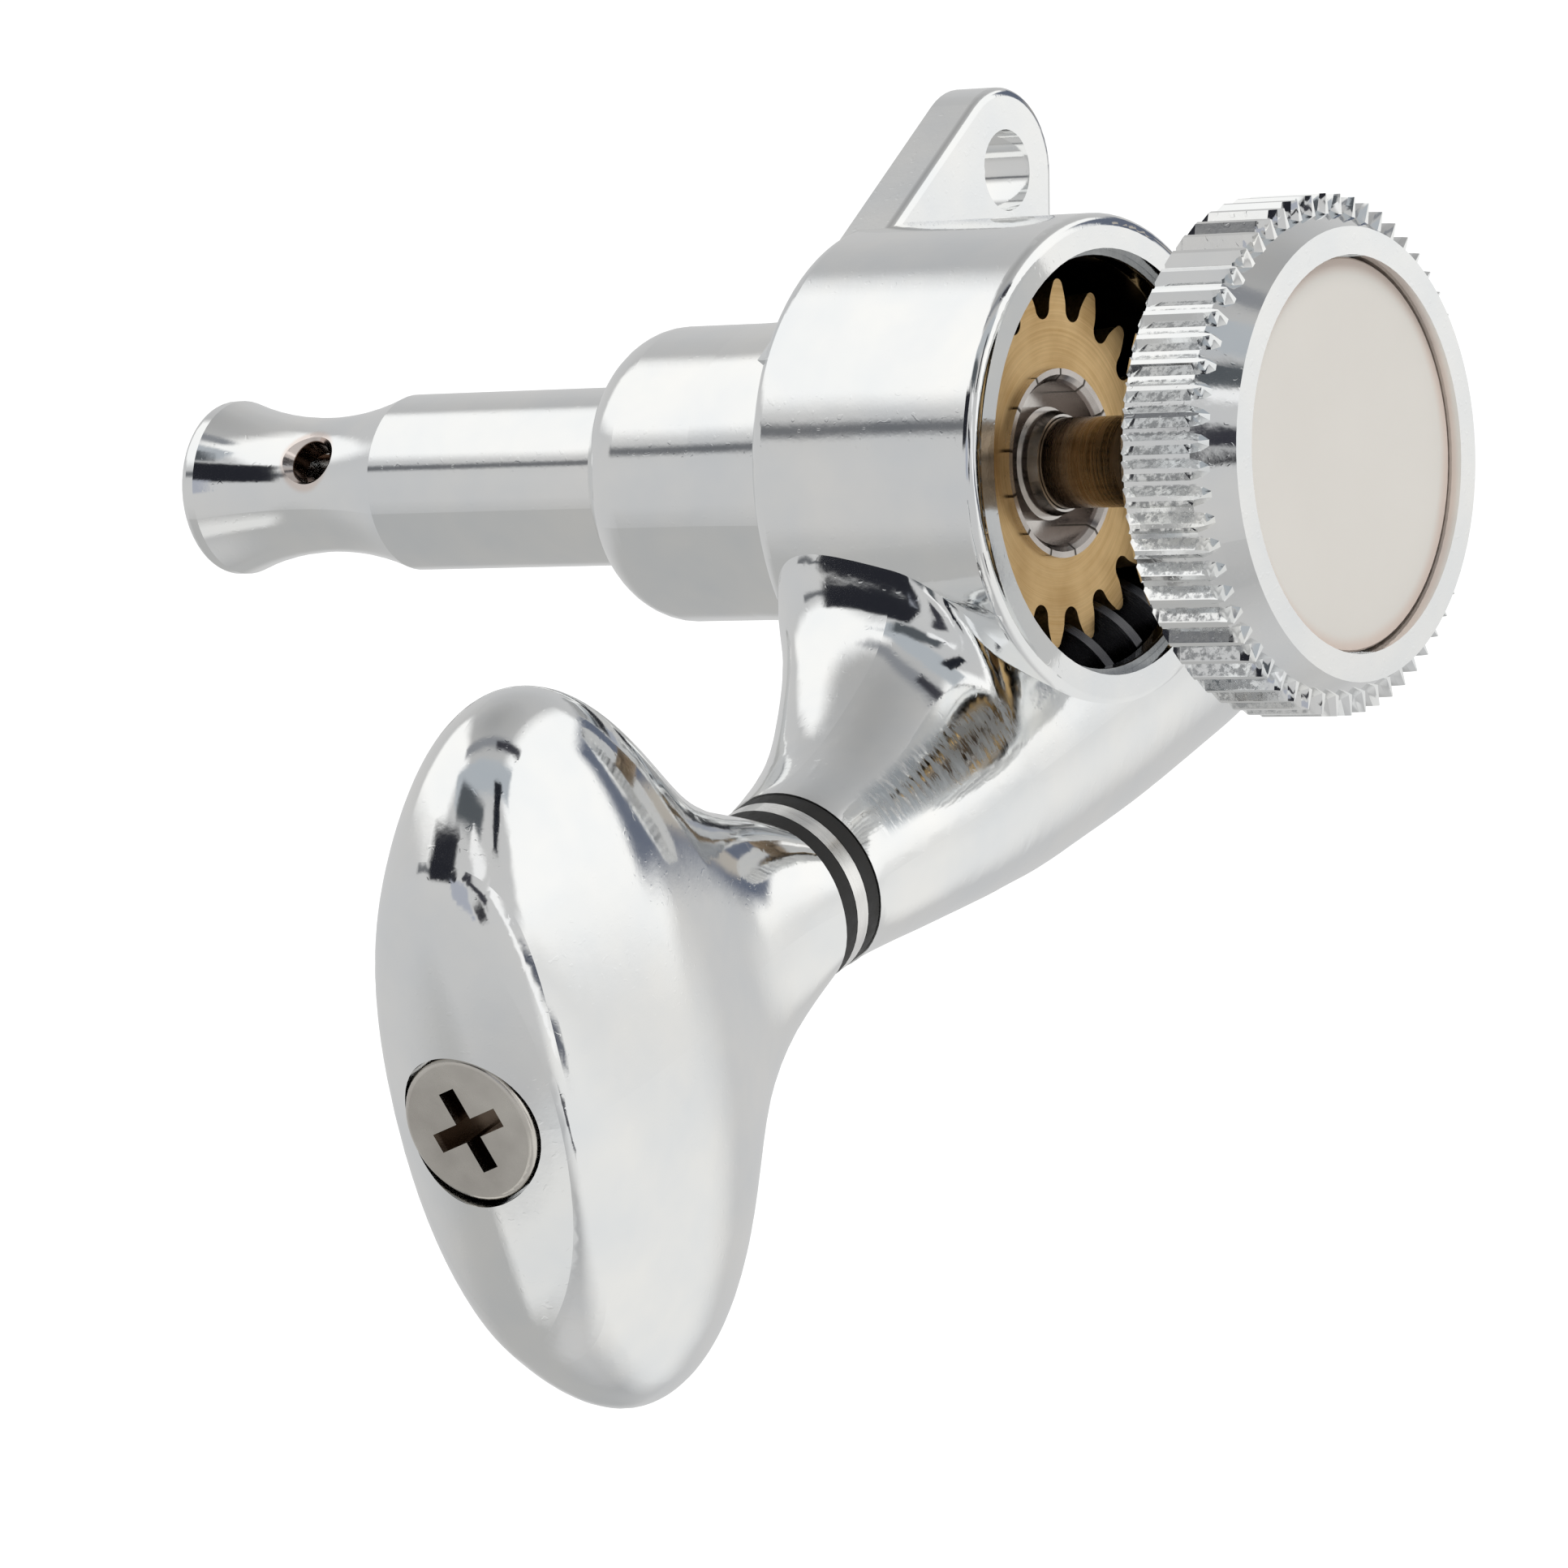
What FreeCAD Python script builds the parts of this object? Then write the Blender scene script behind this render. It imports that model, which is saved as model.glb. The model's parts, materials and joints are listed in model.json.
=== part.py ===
import FreeCAD, Part
import math
import os
import Sketcher

# Guitar tuning machine with a locking post: a cast housing with collar, arm and
# screw ear, a worm on the button shaft, a worm wheel on the hollow string post,
# and a thumbwheel whose screw pushes a pin against the string.
# Frame: origin on the post axis in the face that lies on the back of the
# headstock, +Z along the post to its string end, +X along the worm shaft to the
# button. Lengths are in millimetres, angles in degrees.

SIZES = {
    # string post
    "post_radius": 3.0,
    "post_tip_height": 27.64,
    "post_head_length": 0.62,
    "post_waist_length": 7.64,
    "post_head_radius": 3.0,
    "post_waist_radius": 2.31,
    "post_tip_round": 0.31,
    "string_hole_radius": 0.75,
    "string_hole_drop": 4.99,
    "string_hole_angle": 43.5,
    "string_hole_rim": 0.28,
    "post_seat_radius": 2.92,
    "post_seat_flat": 2.8,
    "post_tail_radius": 3.08,
    "post_tail_length": 0.2,
    "tail_recess_radius": 2.66,
    "tail_mouth_radius": 2.88,
    "tail_mouth_depth": 0.25,
    "tail_recess_depth": 1.75,
    # worm gearing
    "gear_module": 0.6,
    "wheel_teeth": 18,
    "wheel_depth": 6.7,
    "wheel_thickness": 3.2,
    "wheel_phase": 15.9,
    "root_clearance": 0.1,
    "gear_backlash": 0.16,
    "pressure_angle": 20.0,
    "tooth_tip_round_share": 0.16,
    "centre_distance": 7.6,
    "worm_length": 7.4,
    # housing
    "drum_radius": 8.05,
    "drum_depth": 8.88,
    "rim_round": 0.42,
    "front_round": 0.6,
    "mouth_radius": 6.9,
    "mouth_depth": 0.5,
    "cavity_radius": 6.7,
    "collar_length": 9.55,
    "collar_root_radius": 5.08,
    "collar_root_length": 4.6,
    "collar_radius": 4.93,
    "collar_nose_length": 1.86,
    "collar_lip_radius": 3.2,
    "collar_lip_length": 0.7,
    "ear_reach": 10.94,
    "ear_angle": 137.0,
    "ear_tip_radius": 2.76,
    "ear_root_offset": 7.3,
    "ear_thickness": 1.8,
    "ear_edge_round": 0.3,
    "ear_hole_radius": 1.35,
    "arm_end": 16.62,
    "arm_end_radius": 3.05,
    "arm_lower_reach": 4.7,
    "arm_rear_reach": 3.74,
    "arm_upper_reach": 7.6,
    "arm_front_reach": 5.0,
    "arm_far_end": 8.6,
    "arm_top_slope_share": 0.3,
    "worm_bore_clearance": 0.15,
    "worm_bore_end": 5.3,
    # bearings and washers
    "bush_wall": 0.55,
    "arm_bush_wall": 0.5,
    "running_clearance": 0.03,
    "axial_play": 0.03,
    "thin_washer": 0.3,
    "wheel_washer_radius": 5.1,
    "shaft_radius": 1.9,
    "shaft_collar_radius": 2.6,
    "shaft_collar_length": 0.6,
    "journal_radius": 1.3,
    "journal_length": 0.9,
    "plug_length": 2.0,
    "plug_sink": 0.35,
    "plug_slot_width": 0.7,
    "plug_slot_depth": 0.4,
    "button_washer": 0.62,
    "button_washer_radius": 3.0,
    # button
    "button_end": 35.4,
    "button_edge_depth": 0.9,
    "button_angle": -2.0,
    "button_half_width": 11.6,
    "button_half_thickness": 3.9,
    "button_neck_radius": 3.0,
    "ridge_side_round": 0.9,
    "ridge_end_round": 3.0,
    "button_shaft_depth": 12.0,
    "shaft_flat": 1.45,
    "button_screw_radius": 1.2,
    "button_screw_grip": 3.1,
    "button_screw_length": 9.0,
    "button_screw_head_radius": 2.35,
    "button_screw_head": 1.45,
    "button_screw_head_round": 0.2,
    "button_screw_gap": 0.09,
    "cross_length": 2.7,
    "cross_width": 0.62,
    "cross_depth": 1.1,
    "cross_angle": 20.0,
    # thumbwheel and lock
    "knob_front_depth": 14.42,
    "knob_thickness": 3.74,
    "knob_radius": 8.3,
    "knob_front_chamfer": 0.25,
    "knob_face_radius": 7.23,
    "knurl_length": 2.48,
    "knurl_ridges": 60,
    "knurl_depth": 0.36,
    "knurl_nose_length": 0.53,
    "knurl_sink": 0.04,
    "recess_radius": 6.33,
    "recess_depth": 1.3,
    "inlay_step": 0.42,
    "inlay_clearance": 0.06,
    "stem_radius": 1.48,
    "lock_thread_radius": 1.98,
    "lock_thread_pitch": 0.7,
    "lock_thread_depth": 0.38,
    "lock_thread_length": 5.6,
    "lock_turns": 3,
    "lock_bore_spare": 0.4,
    "lock_bush_flange": 0.6,
    "lock_bush_radius": 1.85,
    "lock_bush_step": 0.13,
    "lock_bush_rise": 0.62,
    "lock_nose_radius": 1.1,
    "lock_nose_length": 1.0,
    "pin_radius": 1.25,
    "pin_tip_round": 0.25,
    "pin_hole_clearance": 0.4,
    "cut_overrun": 1.0,
    # distance below which two places count as one
    "same_place": 0.02,
}

# Places along the arm as shares of arm_end, from the far end to the button end.
ARM_STATION_SHARES = (-0.518, -0.49, -0.44, -0.32, 0.0, 0.24, 0.385, 0.464,
                      0.515, 0.59, 0.69, 0.79, 0.9, 1.0)
# Growth of the arm's section at those places: 0 is the button end's radius, 1 is
# the full reach towards the lower side, the rear, the post and the headstock.
ARM_LOWER_SHARES = (0.42, 0.66, 0.82, 0.93, 1.0, 0.92, 0.83, 0.727, 0.667, 0.56, 0.41, 0.255, 0.09, 0.0)
ARM_REAR_SHARES = (0.3, 0.72, 0.92, 0.98, 1.0, 1.0, 0.99, 0.98, 0.95, 0.86, 0.69, 0.51, 0.2, 0.0)
ARM_UPPER_SHARES = (0.14, 0.24, 0.32, 0.44, 0.9, 1.0, 1.0, 0.95, 0.68, 0.42, 0.26, 0.136, 0.05, 0.0)
ARM_FRONT_SHARES = (0.3, 0.7, 0.88, 0.96, 1.0, 1.0, 1.0, 1.0, 0.9, 0.64, 0.35, 0.16, 0.06, 0.0)
# Slope of the arm's top at those places, which rises towards the headstock, as
# shares of its slope beside the drum.
ARM_SLOPE_SHARES = (0.0, 0.0, 0.0, 0.1, 0.5, 0.9, 1.0, 1.0, 1.0, 0.9, 0.7, 0.4, 0.1, 0.0)
# Weight of an oval's corners: a true ellipse, the arm's corner between the post
# and the headstock at each place, and the fuller button.
ELLIPSE_SHARE = math.sqrt(0.5)
ARM_CORNER_SHARES = (0.71, 0.71, 0.71, 0.8, 1.5, 2.3, 2.6, 2.6, 2.2, 1.8, 1.4, 1.0, 0.8, 0.71)
BUTTON_CORNER_SHARE = 0.807

# Ridges of the thumbwheel: top and valley as shares of their pitch, and the nose
# that each ridge ends in, as shares of its length and of the ridge's full width.
KNURL_FLAT_SHARE = 0.17
KNURL_VALLEY_SHARE = 0.12
KNURL_NOSE_PLACE_SHARES = (0.0, 0.6, 1.0)
KNURL_NOSE_WIDTH_SHARES = (1.0, 0.74, 0.3)

# Stations of the button as shares of its length from the neck to the ridge of
# its outer face, with its half width and half thickness there as shares.
BUTTON_STATION_SHARES = (0.0, 0.058, 0.15, 0.276, 0.402, 0.528, 0.654, 0.78, 0.906, 0.965, 1.0)
BUTTON_WIDTH_SHARES = (0.0, 0.06, 0.157, 0.369, 0.7, 0.92, 1.0, 0.964, 0.79, 0.66, 0.57)
BUTTON_THICKNESS_SHARES = (0.0, -0.24, -0.4, -0.28, 0.21, 0.73, 0.98, 1.0, 0.86, 0.6, 0.22)
# Sections of the button's domed outer face from its ridge up, as shares of the
# dome's height, and their half width and half thickness as shares of the ridge's.
FACE_RISE_SHARES = (0.0, 0.36, 0.64, 0.84, 0.98)
FACE_WIDTH_SHARES = (1.0, 0.86, 0.68, 0.46, 0.17)
FACE_THICKNESS_SHARES = (1.0, 0.8, 0.6, 0.4, 0.15)

doc = FreeCAD.newDocument("tuning_machine")


class Size:
    """A length or count with the sheet expression that gives it."""

    def __init__(self, value, text):
        self.value = float(value)
        self.text = text

    def __add__(self, other):
        other = as_size(other)
        return Size(self.value + other.value, f"({self.text} + {other.text})")

    def __radd__(self, other):
        return as_size(other) + self

    def __sub__(self, other):
        other = as_size(other)
        return Size(self.value - other.value, f"({self.text} - {other.text})")

    def __rsub__(self, other):
        return as_size(other) - self

    def __mul__(self, other):
        other = as_size(other)
        return Size(self.value * other.value, f"({self.text} * {other.text})")

    def __rmul__(self, other):
        return as_size(other) * self

    def __truediv__(self, other):
        other = as_size(other)
        return Size(self.value / other.value, f"({self.text} / {other.text})")

    def __neg__(self):
        return Size(-self.value, f"(-{self.text})")


def as_size(value):
    return value if isinstance(value, Size) else Size(value, f"{value:.9g}")


class Sizes:
    """The driving sizes, read from the sheet by their alias."""

    def __init__(self):
        self.sheet = doc.addObject("Spreadsheet::Sheet", "Sizes")
        for row, (alias, value) in enumerate(SIZES.items(), start=1):
            self.sheet.set(f"A{row}", alias)
            self.sheet.set(f"B{row}", str(value))
            self.sheet.setAlias(f"B{row}", alias)
        doc.recompute()

    def __getattr__(self, alias):
        return Size(getattr(self.sheet, alias), f"Sizes.{alias}")


S = Sizes()
ZERO = as_size(0)

# Depths along the post axis, measured from the mounting face and negative
# behind it, and places along the worm shaft.
WHEEL_REAR = -S.wheel_depth
WHEEL_FRONT = WHEEL_REAR + S.wheel_thickness
WHEEL_MIDDLE = WHEEL_REAR + S.wheel_thickness / 2
TAIL_END = WHEEL_REAR - S.post_tail_length
FLOOR = WHEEL_FRONT + S.thin_washer + 2 * S.axial_play
RECESS_FLOOR = TAIL_END + S.tail_recess_depth
BUSH_RADIUS = S.post_radius + S.running_clearance + S.bush_wall
BUSH_TOP = S.collar_length - S.collar_lip_length
POST_HEAD = S.post_tip_height - S.post_head_length
POST_SHOULDER = POST_HEAD - S.post_waist_length
STRING_HOLE = S.post_tip_height - S.string_hole_drop

PITCH_RADIUS = S.gear_module * S.wheel_teeth / 2
WHEEL_TIP_RADIUS = PITCH_RADIUS + S.gear_module
WORM_PITCH_RADIUS = S.centre_distance - PITCH_RADIUS
WORM_TIP_RADIUS = WORM_PITCH_RADIUS + S.gear_module
WORM_ROOT_RADIUS = WORM_PITCH_RADIUS - S.gear_module - S.root_clearance
WHEEL_ROOT_RADIUS = PITCH_RADIUS - S.gear_module - S.root_clearance
WORM_BORE_RADIUS = WORM_TIP_RADIUS + S.worm_bore_clearance
ARM_BUSH_RADIUS = S.shaft_radius + S.running_clearance + S.arm_bush_wall

SHAFT_STOP = S.worm_bore_end - S.thin_washer - S.axial_play
PLUG_INNER = -S.arm_far_end + S.plug_length
WORM_REST = PLUG_INNER + S.thin_washer + S.axial_play
STACK_START = S.arm_end + S.axial_play
BUTTON_EDGE = S.button_end - S.button_edge_depth
BUTTON_START = STACK_START + 3 * (S.button_washer + S.axial_play)
SHAFT_END = BUTTON_START + S.button_shaft_depth
SCREW_SEAT = SHAFT_END + S.button_screw_grip
SCREW_TIP = SCREW_SEAT - S.button_screw_length
SCREW_HOLE_RADIUS = S.button_screw_radius + S.running_clearance
LOCK_TRAVEL = S.lock_thread_pitch * S.lock_turns
LOCK_THREAD_START = RECESS_FLOOR + S.axial_play
LOCK_THREAD_END = LOCK_THREAD_START + S.lock_thread_length
PIN_START = LOCK_THREAD_END + S.lock_nose_length + S.axial_play
PIN_END = STRING_HOLE - S.string_hole_radius - S.pin_hole_clearance
SCREW_BORE_RADIUS = S.lock_thread_radius + S.running_clearance
SCREW_BORE_TOP = LOCK_THREAD_END + S.lock_nose_length + LOCK_TRAVEL + S.lock_bore_spare
PIN_BORE_RADIUS = S.pin_radius + S.running_clearance
PIN_BORE_TOP = PIN_END + LOCK_TRAVEL + S.lock_bore_spare
KNOB_FRONT = -S.knob_front_depth
KNOB_REAR = KNOB_FRONT - S.knob_thickness
INLAY_FACE = KNOB_REAR + S.inlay_step
RECESS_BOTTOM = KNOB_REAR + S.recess_depth

# The worm line's frame: its z runs along the shaft, its x points up beside the
# post and its y points to the headstock.
SHAFT_TURN = FreeCAD.Rotation(FreeCAD.Vector(1, 1, 1), 120)


def bind(feature, path, size):
    """Binds one property to the sheet, or sets it where it needs no size."""
    size = as_size(size)
    feature.setExpression(path, size.text)


def put_on_worm_line(feature, angle=ZERO):
    """Lays a feature's z axis along the worm shaft, turned about it by an angle."""
    own_turn = FreeCAD.Rotation(FreeCAD.Vector(0, 0, 1), angle.value)
    feature.Placement = FreeCAD.Placement(
        FreeCAD.Vector(0, -S.centre_distance.value, WHEEL_MIDDLE.value),
        SHAFT_TURN.multiply(own_turn))
    bind(feature, "Placement.Base.y", -S.centre_distance)
    bind(feature, "Placement.Base.z", WHEEL_MIDDLE)
    return feature


def new_body(label):
    body = doc.addObject("PartDesign::Body", label)
    body.Label = label
    return body


def new_sketch(body, name, role, height=ZERO):
    """A sketch on one of the body's own origin planes, lifted by height."""
    sketch = body.newObject("Sketcher::SketchObject", name)
    plane = [item for item in body.Origin.OriginFeatures if item.Role == role][0]
    sketch.AttachmentSupport = [(plane, "")]
    sketch.MapMode = "FlatFace"
    sketch.AttachmentOffset = FreeCAD.Placement(
        FreeCAD.Vector(0, 0, as_size(height).value), FreeCAD.Rotation())
    bind(sketch, "AttachmentOffset.Base.z", height)
    return sketch


def fix_point(sketch, index, place, x, y):
    for kind, size in (("DistanceX", x), ("DistanceY", y)):
        size = as_size(size)
        number = sketch.addConstraint(
            Sketcher.Constraint(kind, -1, 1, index, place, size.value))
        sketch.setExpression(f"Constraints[{number}]", size.text)


def arc_between(start, end, radius, side):
    """Arc of the given radius; side 1 has its centre left of start to end."""
    chord = end - start
    half = chord.Length / 2
    height = math.sqrt(max(radius * radius - half * half, 0))
    normal = FreeCAD.Vector(-chord.y, chord.x, 0).normalize()
    centre = start + chord * 0.5 + normal * (height * side)
    middle = centre - normal * (radius * side)
    return Part.Arc(start, middle, end)


def add_outline(sketch, corners):
    """A closed outline; a corner is (x, y), or (x, y, radius, side) where an arc
    of that radius leads to the next corner."""
    points = [FreeCAD.Vector(as_size(c[0]).value, as_size(c[1]).value, 0) for c in corners]
    first = sketch.GeometryCount
    count = len(corners)
    ends = []
    for i, corner in enumerate(corners):
        start, end = points[i], points[(i + 1) % count]
        if len(corner) == 4:
            curve = arc_between(start, end, as_size(corner[2]).value, corner[3])
        else:
            curve = Part.LineSegment(start, end)
        sketch.addGeometry(curve, False)
        clockwise = len(corner) == 4 and corner[3] < 0
        ends.append((2, 1) if clockwise else (1, 2))
    for i, corner in enumerate(corners):
        after = (i + 1) % count
        sketch.addConstraint(Sketcher.Constraint(
            "Coincident", first + i, ends[i][1], first + after, ends[after][0]))
        fix_point(sketch, first + i, ends[i][0], corner[0], corner[1])
        if len(corner) == 4:
            size = as_size(corner[2])
            number = sketch.addConstraint(
                Sketcher.Constraint("Radius", first + i, size.value))
            sketch.setExpression(f"Constraints[{number}]", size.text)


def turn(body, name, corners, cut=False):
    """Revolves an outline of (radius, height) corners about the body's z axis."""
    sketch = new_sketch(body, f"{name}_profile", "XZ_Plane")
    add_outline(sketch, corners)
    kind = "PartDesign::Groove" if cut else "PartDesign::Revolution"
    feature = body.newObject(kind, name)
    feature.Profile = sketch
    feature.ReferenceAxis = (sketch, ["V_Axis"])
    feature.Angle = 360
    doc.recompute()
    return feature


def extrude(body, name, height, length, draw, role="XY_Plane", cut=False):
    """Pads or pockets what draw puts in a sketch, upwards from height."""
    sketch = new_sketch(body, f"{name}_sketch", role, height)
    draw(sketch)
    feature = body.newObject("PartDesign::Pocket" if cut else "PartDesign::Pad", name)
    feature.Profile = sketch
    feature.Type = 0
    bind(feature, "Length", length)
    doc.recompute()
    return feature


def ring(body, name, inner, outer, low, high):
    return turn(body, name, [(inner, low), (outer, low), (outer, high), (inner, high)])


def box_outline(half_x, half_y):
    return [(-half_x, -half_y), (half_x, -half_y), (half_x, half_y), (-half_x, half_y)]


def cut_tool(name, radius, low, high, on_worm_line=False):
    """A plain cylinder that a boolean takes away, between two heights."""
    tool = doc.addObject("Part::Cylinder", name)
    bind(tool, "Radius", radius)
    bind(tool, "Height", high - low)
    if on_worm_line:
        put_on_worm_line(tool)
        tool.Placement.Base.x = low.value
        bind(tool, "Placement.Base.x", low)
    else:
        bind(tool, "Placement.Base.z", low)
    doc.recompute()
    return tool


def boolean(kind, label, base, tools):
    result = doc.addObject(kind, label)
    result.Label = label
    if kind == "Part::Cut":
        result.Base = base
        result.Tool = tools[0]
    else:
        result.Shapes = [base] + tools
    doc.recompute()
    return result


def drum_and_collar():
    """Drum round the worm wheel and the round-nosed collar in front of it."""
    nose_drop = S.collar_radius - S.collar_lip_radius
    nose_arc = (S.collar_nose_length * S.collar_nose_length
                + nose_drop * nose_drop) / (2 * nose_drop)
    body = new_body("drum")
    turn(body, "drum_turned", [
        (ZERO, -S.drum_depth),
        (S.drum_radius - S.rim_round, -S.drum_depth, S.rim_round, 1),
        (S.drum_radius, -S.drum_depth + S.rim_round),
        (S.drum_radius, -S.front_round, S.front_round, 1),
        (S.drum_radius - S.front_round, ZERO),
        (S.collar_root_radius, ZERO),
        (S.collar_radius, S.collar_root_length),
        (S.collar_radius, S.collar_length - S.collar_nose_length, nose_arc, 1),
        (S.collar_lip_radius, S.collar_length),
        (ZERO, S.collar_length),
    ])
    return body


def ear_plate():
    """Screw ear flush with the mounting face, pointing along its own x axis."""
    lean = math.asin((S.ear_root_offset - S.ear_tip_radius).value / S.ear_reach.value)
    touch_x = S.ear_reach + S.ear_tip_radius * math.sin(lean)
    touch_y = S.ear_tip_radius * math.cos(lean)
    root_y = S.ear_root_offset / math.cos(lean)
    body = new_body("ear")

    def draw(sketch):
        add_outline(sketch, [(ZERO, -root_y), (touch_x, -touch_y, S.ear_tip_radius, 1),
                             (touch_x, touch_y), (ZERO, root_y)])

    pad = extrude(body, "ear_pad", -S.ear_thickness, S.ear_thickness, draw)
    rear_edges = [f"Edge{i + 1}" for i, edge in enumerate(pad.Shape.Edges)
                  if abs(edge.CenterOfMass.z + S.ear_thickness.value) < S.same_place.value
                  and edge.CenterOfMass.x > S.ear_edge_round.value]
    edge_round = body.newObject("PartDesign::Fillet", "ear_edge")
    edge_round.Base = (pad, rear_edges)
    bind(edge_round, "Radius", S.ear_edge_round)
    body.Placement = FreeCAD.Placement(
        FreeCAD.Vector(0, 0, 0),
        FreeCAD.Rotation(FreeCAD.Vector(0, 0, 1), S.ear_angle.value))
    doc.recompute()
    return body


def quarter_ellipse(x_reach, y_reach, share, slope=0):
    """Quarter of an oval from the x axis to the y axis, either reach signed; the
    share is its corner's weight, and the root of a half makes it an ellipse. It
    leaves the x axis square to it, or leaning outwards by the slope."""
    curve = Part.BSplineCurve()
    curve.buildFromPolesMultsKnots(
        [FreeCAD.Vector(x_reach, 0, 0), FreeCAD.Vector(x_reach + slope * y_reach, y_reach, 0),
         FreeCAD.Vector(0, y_reach, 0)], [3, 3], [0, 1], False, 2, [1, share, 1])
    return curve.toShape()


def arm_section(station, lower, rear, upper, front, corner_share, slope):
    """Section across the arm: x up beside the post, y to the headstock."""
    edges = [quarter_ellipse(upper, front, corner_share, slope),
             quarter_ellipse(-lower, front, ELLIPSE_SHARE),
             quarter_ellipse(-lower, -rear, ELLIPSE_SHARE),
             quarter_ellipse(upper, -rear, ELLIPSE_SHARE, slope)]
    section = Part.Wire(Part.__sortEdges__(edges))
    section.translate(FreeCAD.Vector(0, 0, station))
    return section


def arm():
    """Flared arm round the worm, from the far boss to the button washers."""
    end = S.arm_end_radius.value

    def reach(share, full):
        return end + share * (full.value - end)

    sections = [
        arm_section(place * S.arm_end.value, reach(lower, S.arm_lower_reach),
                    reach(rear, S.arm_rear_reach), reach(upper, S.arm_upper_reach),
                    reach(front, S.arm_front_reach), corner_share,
                    slope_share * S.arm_top_slope_share.value)
        for place, lower, rear, upper, front, corner_share, slope_share in zip(
            ARM_STATION_SHARES, ARM_LOWER_SHARES, ARM_REAR_SHARES, ARM_UPPER_SHARES,
            ARM_FRONT_SHARES, ARM_CORNER_SHARES, ARM_SLOPE_SHARES)]
    feature = doc.addObject("Part::Feature", "arm")
    feature.Shape = Part.makeLoft(sections, True, False)
    return put_on_worm_line(feature)


def housing():
    """Cast housing, bored for the post, the worm wheel and the worm shaft."""
    cast = boolean("Part::MultiFuse", "housing_cast", drum_and_collar(), [ear_plate(), arm()])
    over = S.cut_overrun
    ear_hole = cut_tool("ear_hole", S.ear_hole_radius, -S.ear_thickness - over, over)
    angle = math.radians(S.ear_angle.value)
    bind(ear_hole, "Placement.Base.x", S.ear_reach * math.cos(angle))
    bind(ear_hole, "Placement.Base.y", S.ear_reach * math.sin(angle))
    tools = boolean("Part::MultiFuse", "housing_bores",
        cut_tool("mouth", S.mouth_radius, -S.drum_depth - over, -S.drum_depth + S.mouth_depth), [
        cut_tool("cavity", S.cavity_radius, -S.drum_depth, FLOOR),
        cut_tool("bush_bore", BUSH_RADIUS, FLOOR - over, BUSH_TOP),
        cut_tool("lip_bore", S.post_radius + 3 * S.running_clearance,
                 BUSH_TOP - over, S.collar_length + over),
        ear_hole,
        cut_tool("worm_bore", WORM_BORE_RADIUS, -S.arm_far_end - over,
                 S.worm_bore_end, on_worm_line=True),
        cut_tool("arm_bush_bore", ARM_BUSH_RADIUS, ZERO, S.arm_end + over,
                 on_worm_line=True),
    ])
    return boolean("Part::Cut", "housing", cast, [tools])


def post_bush():
    body = new_body("post_bush")
    ring(body, "bush", S.post_radius + S.running_clearance, BUSH_RADIUS, FLOOR, BUSH_TOP)
    return body


def wheel_washer():
    body = new_body("wheel_washer")
    ring(body, "washer", S.post_radius + S.running_clearance, S.wheel_washer_radius,
         WHEEL_FRONT + S.axial_play, WHEEL_FRONT + S.axial_play + S.thin_washer)
    return body


def worm_bush():
    body = new_body("worm_bush")
    ring(body, "bush", S.shaft_radius + S.running_clearance, ARM_BUSH_RADIUS,
         S.worm_bore_end, S.arm_end)
    return put_on_worm_line(body)


def worm_thrust_washer():
    """Washer between the collar of the worm shaft and the step of the worm bore."""
    body = new_body("worm_thrust_washer")
    ring(body, "washer", S.shaft_radius + S.running_clearance,
         WORM_BORE_RADIUS - S.running_clearance,
         S.worm_bore_end - S.thin_washer, S.worm_bore_end)
    return put_on_worm_line(body)


def plug_washer():
    """Washer between the worm and the plug of the worm bore."""
    body = new_body("plug_washer")
    ring(body, "washer", S.journal_radius + S.running_clearance,
         WORM_BORE_RADIUS - S.running_clearance, PLUG_INNER, PLUG_INNER + S.thin_washer)
    return put_on_worm_line(body)


def worm_plug():
    """Screwed plug that closes the worm bore, with a bearing and a driver slot."""
    body = new_body("worm_plug")
    start = -S.arm_far_end + S.plug_sink
    bore = S.journal_radius + S.running_clearance
    bore_depth = PLUG_INNER - S.journal_length - S.axial_play
    turn(body, "plug", [
        (ZERO, start), (WORM_BORE_RADIUS, start), (WORM_BORE_RADIUS, PLUG_INNER),
        (bore, PLUG_INNER), (bore, bore_depth), (ZERO, bore_depth)])
    slot = new_sketch(body, "slot_sketch", "XY_Plane", start + S.plug_slot_depth)
    add_outline(slot, box_outline(WORM_BORE_RADIUS + S.cut_overrun, S.plug_slot_width / 2))
    pocket = body.newObject("PartDesign::Pocket", "slot")
    pocket.Profile = slot
    bind(pocket, "Length", S.plug_slot_depth + S.cut_overrun)
    pocket.Reversed = False
    doc.recompute()
    return put_on_worm_line(body)


def stack_washer(label, place, inner):
    """One of the three washers between the arm and the button."""
    start = STACK_START + place * (S.button_washer + S.axial_play)
    body = new_body(label)
    ring(body, "washer", inner, S.button_washer_radius, start, start + S.button_washer)
    return put_on_worm_line(body)


def double_flat(radius, flat):
    """Round outline with two flats, as corners for add_outline."""
    half = math.sqrt(radius.value ** 2 - flat.value ** 2)
    half = radius * (half / radius.value)
    return [(flat, -half), (flat, half, radius, 1), (-flat, half), (-flat, -half, radius, 1)]


def side_flat(body, name, side, radius, flat, low, length):
    """Cuts one flat along a round shaft, upwards from low."""
    near, far = flat * side, (radius + S.cut_overrun) * side

    def draw(sketch):
        add_outline(sketch, [(near, -radius), (far, -radius), (far, radius), (near, radius)])

    before = body.Shape.Volume
    feature = extrude(body, name, low, length, draw, cut=True)
    feature.Reversed = True
    doc.recompute()
    if body.Shape.Volume >= before:
        raise RuntimeError(f"{name} cuts nothing")


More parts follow.
